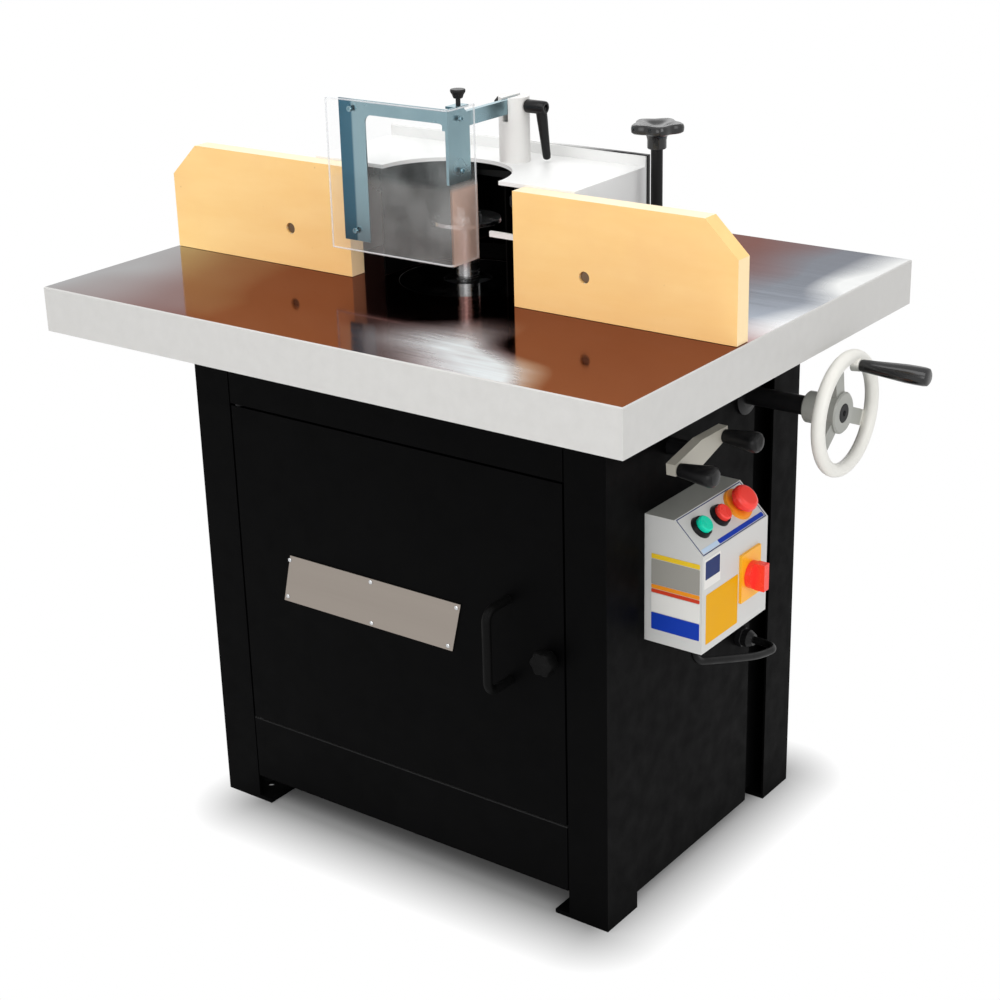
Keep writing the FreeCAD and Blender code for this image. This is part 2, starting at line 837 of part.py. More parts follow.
# Door with its handle, latch and bare plate
def make_door():
    skin = block("door_blank", "door_left : door_right", "door_front : door_front + door_return",
                 "door_bottom : door_top")
    hollow = block("door_hollow", "door_left + door_sheet : door_right - door_sheet",
                   "door_front + door_sheet : door_front + door_return + overrun",
                   "door_bottom + door_sheet : door_top - door_sheet")
    pins = rod("door_pin_holes", "z", "pin_diameter / 2 + fit_gap",
               "door_bottom - overrun : door_top + overrun", "pivot_x", "pivot_y")
    latch = rod("door_latch_hole", "y", "latch_shaft / 2 + fit_gap",
                "door_front - overrun : door_front + door_sheet + overrun", "latch_x", "latch_z")
    node("door", cut("door", skin, hollow, pins, latch))

    lower = fuse("lower_pin",
                 rod("lower_pin_shank", "z", "pin_diameter / 2",
                     "door_bottom - door_gap - post_sheet - pin_reach : door_bottom + pin_reach",
                     "pivot_x", "pivot_y"),
                 rod("lower_pin_collar", "z", "pin_collar / 2",
                     "door_bottom - door_gap : door_bottom - running_gap", "pivot_x", "pivot_y"))
    upper = fuse("upper_pin",
                 rod("upper_pin_shank", "z", "pin_diameter / 2",
                     "door_top - pin_reach : door_top + door_gap + post_sheet + pin_reach",
                     "pivot_x", "pivot_y"),
                 rod("upper_pin_collar", "z", "pin_collar / 2",
                     "door_top + running_gap : door_top + door_gap", "pivot_x", "pivot_y"))
    node("hinge_pins", group("hinge_pins", lower, upper))

    low = "handle_z - handle_length / 2"
    high = "handle_z + handle_length / 2"
    node("door_handle", bent_rod("door_handle", [
        ("handle_x", "door_front", low),
        ("handle_x", "door_front - handle_reach", low),
        ("handle_x", "door_front - handle_reach", high),
        ("handle_x", "door_front", high),
    ], size("handle_rod") / 2, size("handle_bend")))

    knob_span = "door_front - latch_stem - latch_knob_length : door_front - latch_stem"
    node("latch_knob", fuse(
        "latch_knob",
        lobed("latch_grip", "y", "latch_knob", knob_span, LATCH_LOBES, "latch_flute", "latch_x",
              "latch_z"),
        rod("latch_collar", "y", "latch_stem_diameter / 2",
            "door_front - latch_stem : door_front - running_gap",
            "latch_x", "latch_z"),
        rod("latch_spindle", "y", "latch_shaft / 2", "door_front - latch_stem : cam_back", "latch_x",
            "latch_z")))
    node("latch_cam", cut(
        "latch_cam",
        block("cam_blank", "latch_x - cam_width / 2 : latch_x + cam_width / 2", "cam_front : cam_back",
              "latch_z - cam_width / 2 : latch_z + cam_length"),
        rod("cam_hole", "y", "latch_shaft / 2 + seat_gap", "cam_front - overrun : cam_back + overrun",
            "latch_x", "latch_z")))

    left = "plate_x - plate_width / 2"
    right = "plate_x + plate_width / 2"
    base = "plate_z - plate_height / 2"
    top = "plate_z + plate_height / 2"
    node("name_plate", plate("name_plate", "XZ_Plane", [
        (left, base),
        (right + " - plate_slant", base),
        (right, top),
        (left + " + plate_slant", top),
    ], "door_front - plate_sheet : door_front"))


# Table with its rings and bolts
def bevelled(low, high):
    """The table's section between two edges, its top corners bevelled."""
    return [
        (low, "cabinet_top"),
        (high, "cabinet_top"),
        (high, "table_height - table_bevel"),
        (high + " - table_bevel", "table_height"),
        (low + " + table_bevel", "table_height"),
        (low, "table_height - table_bevel"),
    ]


def make_table():
    outer = doc.addObject("Part::MultiCommon", "table_blank")
    outer.Shapes = [
        plate("table_long_section", "XZ_Plane", bevelled("-table_half", "table_half"),
              "table_front : table_back"),
        plate("table_cross_section", "YZ_Plane", bevelled("table_front", "table_back"),
              "-table_half : table_half"),
    ]
    pocket = block("table_pocket", "table_wall - table_half : table_half - table_wall",
                   "table_front + table_wall : table_back - table_wall",
                   "cabinet_top - overrun : table_under")
    inner_y = "table_front + table_wall : table_back - table_wall"
    shell = cut("table_shell", outer, pocket)
    half = "rib_width / 2"
    ribs = [
        block("rib_right", "rib_x - %s : rib_x + %s" % (half, half), inner_y,
              "cabinet_top : table_under"),
        block("rib_left", "-rib_x - %s : %s - rib_x" % (half, half), inner_y,
              "cabinet_top : table_under"),
    ]
    casting = fuse("table_casting", shell, *ribs)
    holes = [
        rod("ring_seat", "z", "ring_diameter / 2", "table_height - ring_depth : table_height + overrun",
            "0", "spindle_y"),
        rod("ring_hole", "z", "ring_diameter / 2 - ring_ledge", "table_under - overrun : table_height",
            "0", "spindle_y"),
    ]
    for x in ("clamp_x", "-clamp_x"):
        holes.append(rod("clamp_hole", "z", "clamp_stud / 2 + seat_gap",
                         "table_height - clamp_stud_depth : table_height + overrun", x, "clamp_y"))
    bolts = []
    for x in ("rib_x", "-rib_x"):
        for y in ("table_bolt_y", "-table_bolt_y"):
            holes.append(rod("table_bolt_hole", "z", "table_bolt_diameter / 2 + seat_gap",
                             "cabinet_top - overrun : cabinet_top + table_bolt_grip", x, y))
            head_top = "cabinet_top - top_flange_sheet"
            shank = rod("table_bolt_shank", "z", "table_bolt_diameter / 2",
                        head_top + " : cabinet_top + table_bolt_grip", x, y)
            head = doc.addObject("Part::Prism", "table_bolt_hex")
            head.Polygon = HEX_SIDES
            bind(head, "Circumradius", "table_bolt_head / 2 / cos(%d)" % HALF_FLAT)
            bind(head, "Height", "table_bolt_head_height")
            put(head, "z", head_top + " - table_bolt_head_height", (x, y))
            bolts.append(fuse("table_bolt", shank, head))
    solid = cut("table_drilled", casting, *holes)
    node("table", solid)
    node("table_bolts", group("table_bolts", *bolts))

    top = "table_height"
    outer = cut(
        "outer_ring",
        rod("outer_ring_blank", "z", "ring_diameter / 2 - running_gap",
            "table_height - ring_depth : " + top,
            "0", "spindle_y"),
        rod("outer_ring_seat", "z", "inner_ring_diameter / 2",
            "table_height - inner_ring_depth : table_height + overrun",
            "0", "spindle_y"),
        rod("outer_ring_hole", "z", "inner_ring_diameter / 2 - ring_ledge",
            "table_height - ring_depth - overrun : table_height", "0", "spindle_y"))
    inner = cut(
        "inner_ring",
        rod("inner_ring_blank", "z", "inner_ring_diameter / 2 - running_gap",
            "table_height - inner_ring_depth : " + top, "0", "spindle_y"),
        rod("inner_ring_hole", "z", "inner_ring_bore / 2",
            "table_height - inner_ring_depth - overrun : table_height + overrun", "0", "spindle_y"))
    node("table_rings", group("table_rings", outer, inner))


# Guide bracket, columns and carriage
def make_lift():
    top = block("bracket_top", "-bracket_half_x : bracket_half_x", "bracket_front : bracket_back",
                "bracket_under : table_under")
    web = block("bracket_web_wall", "-web_half_x : web_half_x",
                "bracket_back - bracket_web : bracket_back",
                "lower_z : table_under")
    low = block("bracket_low", "-lower_half_x : lower_half_x", "lower_front : bracket_back",
                "lower_z : lower_top")
    lock_lug = block("lock_lug", "lock_lug_x : lock_lug_x + lug_sheet",
                     "lock_y - lock_screw / 2 - lug_wall : lock_y + lock_screw / 2 + lug_wall",
                     "lock_z - lock_screw / 2 - lug_wall / 2 : bracket_under")
    shaft_lug = block("shaft_lug", "shaft_lug_x : shaft_lug_x + lug_sheet",
                      "wheel_y - shaft_diameter / 2 - lug_wall : bracket_back - bracket_web",
                      "wheel_z - shaft_diameter / 2 - lug_wall : bracket_under")
    casting = fuse("bracket_casting", top, web, low, lock_lug, shaft_lug)
    bores = [
        rod("bracket_chip_hole", "z", "bracket_hole / 2",
            "bracket_under - overrun : table_under + overrun",
            "0", "spindle_y"),
        rod("lock_bore", "x", "lock_screw / 2 + fit_gap",
            "lock_lug_x - overrun : lock_lug_x + lug_sheet + overrun", "lock_y", "lock_z"),
        rod("shaft_bore", "x", "shaft_diameter / 2 + fit_gap",
            "shaft_lug_x - overrun : shaft_lug_x + lug_sheet + overrun", "wheel_y", "wheel_z"),
        rod("screw_bore", "z", "screw_neck / 2 + fit_gap",
            "lower_z - overrun : bracket_under + screw_neck_reach + running_gap", "0", "wheel_y"),
    ]
    columns = []
    for x in ("column_x", "-column_x"):
        bores.append(rod("column_bore", "z", "column_diameter / 2 + seat_gap",
                         "lower_z - overrun : table_under - slide_gap", x, "column_y"))
        columns.append(rod("guide_column", "z", "column_diameter / 2",
                           "lower_z : table_under - slide_gap - seat_gap",
                           x, "column_y"))
    node("guide_bracket", cut("guide_bracket", casting, *bores))
    node("guide_columns", group("guide_columns", *columns))

    bed = block("carriage_bed", "carriage_left : carriage_right", "carriage_front : carriage_back",
                "carriage_bottom : carriage_top")
    housing = rod("spindle_housing", "z", "housing_diameter / 2", "carriage_bottom : housing_top", "0",
                  "spindle_y")
    through = "carriage_bottom - overrun : carriage_top + overrun"
    carriage_bores = [
        rod("housing_bore_cut", "z", "housing_bore / 2",
            "carriage_bottom - overrun : housing_top - cap_depth",
            "0", "spindle_y"),
        rod("cap_bore_cut", "z", "cap_bore / 2", "carriage_bottom : housing_top + overrun", "0",
            "spindle_y"),
        rod("nut_bore", "z", "screw_diameter / 2 + fit_gap", through, "0", "wheel_y"),
        rod("column_slide_right", "z", "column_diameter / 2 + fit_gap", through, "column_x", "column_y"),
        rod("column_slide_left", "z", "column_diameter / 2 + fit_gap", through, "-column_x", "column_y"),
    ]
    node("carriage", cut("carriage", fuse("carriage_casting", bed, housing), *carriage_bores))

    bearings = []
    for base in ("lower_bearing", "upper_bearing"):
        bearings.append(cut(
            base,
            rod(base + "_outer", "z", "housing_bore / 2 - seat_gap",
                "%s : %s + bearing_width" % (base, base),
                "0", "spindle_y"),
            rod(base + "_bore", "z", "journal_diameter / 2 + fit_gap",
                "%s - overrun : %s + bearing_width + overrun" % (base, base), "0", "spindle_y")))
    node("spindle_bearings", group("spindle_bearings", *bearings))


# Spindle and drive
def make_drive():
    body = turned("spindle_turned", "z", [
        ("0", "tail_bottom"),
        ("tail_diameter / 2", "tail_bottom"),
        ("tail_diameter / 2", "journal_bottom"),
        ("journal_diameter / 2", "journal_bottom"),
        ("journal_diameter / 2", "journal_top"),
        ("spindle_diameter / 2", "journal_top"),
        ("spindle_diameter / 2", "spindle_top"),
        ("0", "spindle_top"),
    ], "0", "spindle_y")
    node("spindle", cut("spindle", body, rod(
        "draw_bolt_hole", "z", "draw_bolt / 2 + seat_gap",
        "spindle_top - draw_bolt_depth - slide_gap : spindle_top + overrun", "0", "spindle_y")))
    disc = turned("spindle_disc", "z", [
        ("0", "spindle_top - draw_bolt_depth"),
        ("draw_bolt / 2", "spindle_top - draw_bolt_depth"),
        ("draw_bolt / 2", "spindle_top"),
        ("disc_diameter / 2", "spindle_top"),
        ("disc_diameter / 2", "spindle_top + disc_thickness"),
        ("disc_hub / 2", "spindle_top + disc_thickness"),
        ("disc_hub / 2", "spindle_top + disc_thickness + disc_hub_height"),
        ("0", "spindle_top + disc_thickness + disc_hub_height"),
    ], "0", "spindle_y")
    head = doc.addObject("Part::Prism", "draw_bolt_hex")
    head.Polygon = HEX_SIDES
    bind(head, "Circumradius", "bolt_head / 2 / cos(%d)" % HALF_FLAT)
    bind(head, "Height", "bolt_head_height")
    put(head, "z", "spindle_top + disc_thickness + disc_hub_height", ("0", "spindle_y"))
    node("spindle_cap", fuse("spindle_cap", disc, head))

    for name, diameter, bore, x in (("spindle_pulley", "spindle_pulley", "tail_diameter", "0"),
                                    ("motor_pulley", "motor_pulley", "motor_shaft", "motor_x")):
        blank = rod(name + "_blank", "z", diameter + " / 2", "pulley_bottom : pulley_top", x, "spindle_y")
        hole = rod(name + "_bore", "z", bore + " / 2 + seat_gap",
                   "pulley_bottom - overrun : pulley_top + overrun",
                   x, "spindle_y")
        node(name, cut(name + "_piece", blank, hole))

    can_top = "motor_flange_top - motor_flange_sheet"
    can = rod("motor_can", "z", "motor_diameter / 2", "motor_bottom : " + can_top, "motor_x", "spindle_y")
    cover = rod("fan_cover", "z", "cover_diameter / 2", "motor_bottom - cover_length : motor_bottom",
                "motor_x", "spindle_y")
    flange = block("motor_flange_plate", "motor_x - motor_flange / 2 : motor_x + motor_flange / 2",
                   "spindle_y - motor_flange / 2 : spindle_y + motor_flange / 2",
                   can_top + " : motor_flange_top")
    terminal = block("terminal_box", "motor_x - terminal_width / 2 : motor_x + terminal_width / 2",
                     "spindle_y : spindle_y + motor_diameter / 2 + terminal_depth",
                     "motor_bottom + motor_length / 2 - terminal_height / 2 : "
                     "motor_bottom + motor_length / 2 + terminal_height / 2")
    bore = rod("motor_bore", "z", "motor_shaft / 2 + fit_gap",
               "motor_flange_top - motor_shaft_depth - running_gap : motor_flange_top + overrun",
               "motor_x", "spindle_y")
    node("motor_body", cut("motor_body", fuse("motor_casing", can, cover, flange, terminal), bore))
    node("motor_shaft", rod("motor_shaft_rod", "z", "motor_shaft / 2",
                            "motor_flange_top - motor_shaft_depth : pulley_top", "motor_x", "spindle_y"))
    pillars = [rod("motor_pillar", "z", "pillar_diameter / 2", "motor_flange_top : carriage_bottom", x, y)
               for x in ("motor_x - pillar_spread", "motor_x + pillar_spread")
               for y in ("spindle_y - pillar_spread", "spindle_y + pillar_spread")]
    node("motor_pillars", group("motor_pillars", *pillars))
    make_belt()


def belt_face(near, far, reach):
    """The area inside a band round two circles that stand reach apart along X."""
    lean = math.acos((near - far) / reach)
    up = FreeCAD.Vector(math.cos(lean), math.sin(lean), 0)
    down = FreeCAD.Vector(math.cos(lean), -math.sin(lean), 0)
    out = FreeCAD.Vector(1, 0, 0)
    middle = FreeCAD.Vector(reach, 0, 0)
    edges = [
        Part.Arc(up * near, out * -near, down * near).toShape(),
        Part.LineSegment(down * near, middle + down * far).toShape(),
        Part.Arc(middle + down * far, middle + out * far, middle + up * far).toShape(),
        Part.LineSegment(middle + up * far, up * near).toShape(),
    ]
    return Part.Face(Part.Wire(edges))


def make_belt():
    near = size("motor_pulley") / 2 + size("running_gap")
    far = size("spindle_pulley") / 2 + size("running_gap")
    thickness = size("belt_thickness")
    reach = -size("motor_x")
    height = FreeCAD.Vector(0, 0, size("belt_width"))
    outer = belt_face(near + thickness, far + thickness, reach).extrude(height)
    inner = belt_face(near, far, reach).extrude(height)
    belt = doc.addObject("Part::Feature", "drive_belt")
    belt.Shape = outer.cut(inner)
    put(belt, "z", "belt_bottom", ("motor_x", "spindle_y"))
    node("drive_belt", belt)


# Handwheel, its shaft and the lead screw
def make_height_drive():
    node("lead_screw", turned("lead_screw", "z", [
        ("0", "lower_z"),
        ("screw_neck / 2", "lower_z"),
        ("screw_neck / 2", "lower_top + running_gap"),
        ("screw_diameter / 2", "lower_top + running_gap"),
        ("screw_diameter / 2", "gear_bottom - gear_collar"),
        ("gear_diameter / 2 - running_gap", "gear_bottom - gear_collar"),
        ("gear_diameter / 2 - running_gap", "gear_bottom - running_gap"),
        ("gear_tip / 2 - running_gap", "gear_top - running_gap"),
        ("screw_neck / 2", "gear_top - running_gap"),
        ("screw_neck / 2", "bracket_under + screw_neck_reach"),
        ("0", "bracket_under + screw_neck_reach"),
    ], "0", "wheel_y"))
    node("handwheel_shaft", turned("handwheel_shaft", "x", [
        ("0", "gear_tip / 2 + running_gap"),
        ("gear_tip / 2", "gear_tip / 2 + running_gap"),
        ("gear_diameter / 2", "gear_diameter / 2 + running_gap"),
        ("gear_diameter / 2", "gear_diameter / 2 + gear_collar"),
        ("shaft_diameter / 2", "gear_diameter / 2 + gear_collar"),
        ("shaft_diameter / 2", "hub_front + slide_gap"),
        ("0", "hub_front + slide_gap"),
    ], "wheel_y", "wheel_z"))
    node("shaft_bush", cut(
        "shaft_bush",
        turned("bush_turned", "x", [
            ("0", "inside_x - panel_sheet - bush_reach"),
            ("bush_sleeve / 2", "inside_x - panel_sheet - bush_reach"),
            ("bush_sleeve / 2", "inside_x"),
            ("bush_flange / 2", "inside_x"),
            ("bush_flange / 2", "inside_x + bush_flange_sheet / 2"),
            ("bush_sleeve / 2", "inside_x + bush_flange_sheet"),
            ("0", "inside_x + bush_flange_sheet"),
        ], "wheel_y", "wheel_z"),
        rod("bush_bore", "x", "shaft_diameter / 2 + fit_gap",
            "inside_x - panel_sheet - bush_reach - overrun : inside_x + bush_flange_sheet + overrun",
            "wheel_y", "wheel_z")))

    rim = doc.addObject("Part::Torus", "wheel_rim")
    bind(rim, "Radius1", "wheel_diameter / 2 - rim_diameter / 2")
    bind(rim, "Radius2", "rim_diameter / 2")
    put(rim, "x", "wheel_x", ("wheel_y", "wheel_z"))
    hub = turned("wheel_hub", "x", [
        ("0", "hub_back"),
        ("hub_diameter / 2 - hub_bevel", "hub_back"),
        ("hub_diameter / 2", "hub_back + hub_bevel"),
        ("hub_diameter / 2", "hub_front - boss_depth - boss_flare"),
        ("boss_diameter / 2", "hub_front - boss_depth"),
        ("boss_diameter / 2", "hub_front - hub_bevel"),
        ("boss_diameter / 2 - hub_bevel", "hub_front"),
        ("0", "hub_front"),
    ], "wheel_y", "wheel_z")
    spokes = []
    for index in range(SPOKES):
        spoke = doc.addObject("Part::Box", "wheel_spoke_%d" % index)
        bind(spoke, "Length", "spoke_sheet")
        bind(spoke, "Width", "spoke_reach")
        bind(spoke, "Height", "spoke_width")
        turn = "spoke_angle + " + around(SPOKES, index)
        spoke.Placement = FreeCAD.Placement(FreeCAD.Vector(),
                                            FreeCAD.Rotation(FreeCAD.Vector(1, 0, 0), 1))
        bind(spoke, "Placement.Rotation.Angle", turn)
        bind(spoke, "Placement.Base.x", "hub_front - spoke_set - spoke_sheet")
        bind(spoke, "Placement.Base.y", "wheel_y + spoke_width / 2 * sin(%s)" % turn)
        bind(spoke, "Placement.Base.z", "wheel_z - spoke_width / 2 * cos(%s)" % turn)
        spokes.append(spoke)
    stud = rod("crank_stud_rod", "x", "crank_stud / 2", "wheel_x : crank_finish - crank_round", "crank_y",
               "crank_z")
    seat = taper("crank_seat", "x", "rim_diameter / 2 : crank_stud",
                 "wheel_x : crank_start - running_gap",
                 "crank_y", "crank_z")
    bore = rod("wheel_bore", "x", "shaft_diameter / 2 + seat_gap",
               "hub_back - overrun : hub_front + overrun",
               "wheel_y", "wheel_z")
    node("handwheel", cut("handwheel", fuse("wheel_casting", rim, hub, stud, seat, *spokes), bore))
    node("crank_handle", cut(
        "crank_handle",
        turned("crank_grip", "x", [
            ("0", "crank_start"),
            ("crank_root / 2", "crank_start"),
            ("crank_end / 2", "crank_start + crank_swell"),
            ("crank_end / 2", "crank_finish - crank_round"),
            ("crank_end / 2 - crank_round", "crank_finish"),
            ("0", "crank_finish"),
        ], "crank_y", "crank_z"),
        rod("crank_bore", "x", "crank_stud / 2 + fit_gap",
            "crank_start - overrun : crank_finish - crank_round + running_gap", "crank_y", "crank_z")))


# Double-grip lever that locks the height
def make_lock():
    half = "lock_bar_half"
    bar = plate("lock_bar", "YZ_Plane", [
        ("-" + half, "-lock_bar_end / 2"),
        ("0", "-lock_bar_middle"),
        (half, "-lock_bar_end / 2"),
        (half, "lock_bar_end"),
        ("0", "lock_bar_middle"),
        ("-" + half, "lock_bar_end"),
    ], "lock_bar_x : lock_bar_front")
    bind(bar, "Placement.Base.y", "lock_y")
    bind(bar, "Placement.Base.z", "lock_z")
    bar.Placement.Rotation = FreeCAD.Rotation(FreeCAD.Vector(1, 0, 0), 1)
    bind(bar, "Placement.Rotation.Angle", "lock_tilt")
    node("lock_lever", bar)
    node("lock_screw",
         rod("lock_screw_rod", "x", "lock_screw / 2", "lock_tip : lock_bar_x", "lock_y", "lock_z"))
    grips = []
    for sign in ("-", ""):
        grips.append(turned("lock_grip", "x", [
            ("0", "lock_bar_front"),
            ("grip_root / 2", "lock_bar_front"),
            ("grip_end / 2", "lock_bar_front + grip_length - grip_shoulder"),
            ("grip_end / 2 - grip_ease", "lock_bar_front + grip_length - grip_round"),
            ("grip_end / 2 - grip_round", "lock_bar_front + grip_length"),
            ("0", "lock_bar_front + grip_length"),
        ], "lock_y + %s1 * grip_place * cos(lock_tilt)" % sign,
        "lock_z + %s1 * grip_place * sin(lock_tilt)" % sign))
    node("lock_grips", group("lock_grips", *grips))


# Control box
def slope_rod(name, radius, span, y):
    """A rod square to the sloping panel, its span counted outward from the panel's face."""
    low = ends(span)[0]
    obj = doc.addObject("Part::Cylinder", name)
    bind(obj, "Radius", radius)
    bind(obj, "Height", length_of(span))
    tilt_to_slope(obj, low, y)
    return obj


def tilt_to_slope(obj, out, y):
    obj.Placement = FreeCAD.Placement(FreeCAD.Vector(), FreeCAD.Rotation(FreeCAD.Vector(0, 1, 0), 1))
    bind(obj, "Placement.Rotation.Angle", "slope_angle")
    bind(obj, "Placement.Base.x", "slope_x + (%s) * sin(slope_angle)" % out)
    bind(obj, "Placement.Base.y", y)
    bind(obj, "Placement.Base.z", "slope_z + (%s) * cos(slope_angle)" % out)


def slope_turned(name, profile, y):
    body = turned(name, "z", profile, "0", "0")
    tilt_to_slope(body, "0", y)
    return body


def make_control_box():
    def section(inset):
        corner = "(%s) * tan(slope_angle / 2)" % inset
        other = "(%s) * tan((%d deg - slope_angle) / 2)" % (inset, QUARTER_TURN)
        return [
            ("inside_x", "box_bottom + (%s)" % inset),
            ("box_out - (%s)" % inset, "box_bottom + (%s)" % inset),
            ("box_out - (%s)" % inset, "box_top - box_slope_drop - " + other),
            ("box_out - box_slope_run - " + corner, "box_top - (%s)" % inset),
            ("inside_x", "box_top - (%s)" % inset),
        ]

    blank = plate("box_blank", "XZ_Plane", section("0"), "box_front : box_back")
    hollow = plate("box_hollow", "XZ_Plane", section("box_wall"),
                   "box_front + box_wall : box_back - box_wall")
    inward = "-box_wall - overrun : overrun"
    holes = [slope_rod(name + "_hole", "button_neck / 2 + running_gap", inward, name + "_y")
             for name in ("start", "stop", "emergency")]
    holes.append(rod("isolator_hole", "x", "isolator_shaft / 2 + running_gap",
                     "box_out - box_wall - overrun : box_out + overrun", "isolator_y", "isolator_z"))
    holes.append(rod("gland_hole", "z", "cable_diameter / 2",
                     "box_bottom - overrun : box_bottom + box_wall + overrun",
                     "gland_x", "gland_y"))
    node("switch_box", cut("switch_box", blank, hollow, *holes))

    bezels = []
    for name in ("start", "stop"):
        bezels.append(cut(
            name + "_bezel",
            slope_turned(name + "_bezel_ring", [
                ("0", "0"),
                ("bezel_diameter / 2", "0"),
                ("bezel_diameter / 2 - bezel_bevel", "bezel_height"),
                ("0", "bezel_height"),
            ], name + "_y"),
            slope_rod(name + "_bezel_hole", "button_diameter / 2 + running_gap",
                      "-overrun : bezel_height + overrun",
                      name + "_y")))
        cap = fuse(name + "_cap",
                   slope_turned(name + "_cap_top", [
                       ("0", "button_height"),
                       ("button_diameter / 2", "button_height"),
                       ("button_diameter / 2", "bezel_height + button_height"),
                       ("button_diameter / 2 - button_bevel",
                        "bezel_height + button_height + button_bevel"),
                       ("0", "bezel_height + button_height + button_bevel"),
                   ], name + "_y"),
                   slope_rod(name + "_stem", "button_neck / 2", "-button_depth : button_height",
                             name + "_y"))
        node(name + "_button", cap)
    node("button_bezels", group("button_bezels", *bezels))
    node("emergency_collar", cut(
        "emergency_collar",
        slope_turned("emergency_ring", [
            ("0", "0"),
            ("collar_diameter / 2", "0"),
            ("collar_diameter / 2 - collar_bevel", "collar_height"),
            ("0", "collar_height"),
        ], "emergency_y"),
        slope_rod("emergency_ring_hole", "mushroom_neck / 2 + running_gap",
                  "-overrun : collar_height + overrun",
                  "emergency_y")))
    rise = "collar_height + mushroom_neck_height"
    node("emergency_button", fuse(
        "emergency_button",
        slope_turned("mushroom", [
            ("0", "collar_height"),
            ("mushroom_neck / 2", "collar_height"),
            ("mushroom_neck / 2", rise),
            ("mushroom_diameter / 2", rise),
            ("mushroom_diameter / 2", rise + " + mushroom_height - mushroom_round"),
            ("mushroom_diameter / 2 - mushroom_ease",
             rise + " + mushroom_height - mushroom_ease"),
            ("mushroom_diameter / 2 - mushroom_round", rise + " + mushroom_height"),
            ("0", rise + " + mushroom_height"),
        ], "emergency_y"),
        slope_rod("emergency_stem", "button_neck / 2", "-button_depth : collar_height", "emergency_y")))

    node("isolator_plate", cut(
        "isolator_plate",
        block("isolator_blank", "box_out : isolator_face",
              "isolator_y - isolator_width / 2 : isolator_y + isolator_width / 2",
              "isolator_z - isolator_height / 2 : isolator_z + isolator_height / 2"),
        rod("isolator_plate_hole", "x", "isolator_shaft / 2 + fit_gap",
            "box_out - overrun : isolator_face + overrun",
            "isolator_y", "isolator_z")))
    knob_back = "isolator_face + running_gap"
    knob_top = "isolator_face + isolator_knob_height"
    node("isolator_knob", fuse(
        "isolator_knob",
        rod("isolator_disc", "x", "isolator_knob / 2", knob_back + " : " + knob_top, "isolator_y",
            "isolator_z"),
        block("isolator_grip_bar", knob_top + " : %s + isolator_grip_height" % knob_top,
              "isolator_y - isolator_grip / 2 : isolator_y + isolator_grip / 2",
              "isolator_z - isolator_knob / 2 : isolator_z + isolator_knob / 2"),
        rod("isolator_spindle", "x", "isolator_shaft / 2",
            "box_out - isolator_shaft_depth : " + knob_back,
            "isolator_y", "isolator_z")))
    make_cable()


def make_cable():
    bore = "cable_diameter / 2 + seat_gap"
    under = cut(
        "box_gland",
        turned("box_gland_nut", "z", [
            ("0", "gland_end"),
            ("gland_nose / 2", "gland_end"),
            ("gland_diameter / 2", "gland_end + gland_nose_length"),
            ("gland_diameter / 2", "box_bottom"),
            ("0", "box_bottom"),
        ], "gland_x", "gland_y"),
        rod("box_gland_bore", "z", bore, "gland_end - overrun : box_bottom + overrun", "gland_x",
            "gland_y"))
    side = cut(
        "panel_gland",
        turned("panel_gland_nut", "x", [
            ("0", "inside_x"),
            ("gland_diameter / 2", "inside_x"),
            ("gland_diameter / 2", "inlet_end - gland_nose_length"),
            ("gland_nose / 2", "inlet_end"),
            ("0", "inlet_end"),
        ], "inlet_y", "inlet_z"),
        rod("panel_gland_bore", "x", bore, "inside_x - overrun : inlet_end + overrun", "inlet_y",
            "inlet_z"))
    node("cable_glands", group("cable_glands", under, side))
    node("switch_cable", bent_rod("switch_cable", [
        ("gland_x", "gland_y", "box_bottom"),
        ("gland_x", "gland_y", "sag_start_z"),
        ("sag_low_x", "sag_low_y", "sag_low_z"),
        ("sag_end_x", "sag_end_y", "sag_end_z"),
        ("inlet_bend_x", "inlet_y", "inlet_z"),
        ("inside_x", "inlet_y", "inlet_z"),
    ], size("cable_diameter") / 2, None))


# Dust duct: a back plate behind the hood, a box and a hose spigot
def make_duct():
    back = block("duct_back_plate", "-hood_half - back_margin : hood_half + back_margin",
                 "plate_front : plate_front + back_sheet", "wing_top + running_gap : lip_top + back_margin")
    box = block("duct_box", "-duct_half : duct_half", "plate_front : duct_back", "hood_bottom : duct_top")
    inside = block("duct_inside", "hood_sheet - duct_half : duct_half - hood_sheet",
                   "plate_front - overrun : duct_back - hood_sheet",
                   "hood_bottom - overrun : duct_top - hood_sheet")
    tube = rod("spigot_tube", "y", "spigot_diameter / 2",
               "duct_back - hood_sheet : duct_back + spigot_length", "0", "spigot_z")
    bore = rod("spigot_bore", "y", "spigot_diameter / 2 - spigot_wall",
               "duct_back - hood_sheet - overrun : duct_back + spigot_length + overrun", "0", "spigot_z")
    node("dust_duct", cut("dust_duct", fuse("duct_shell", back, box, tube), inside, bore))


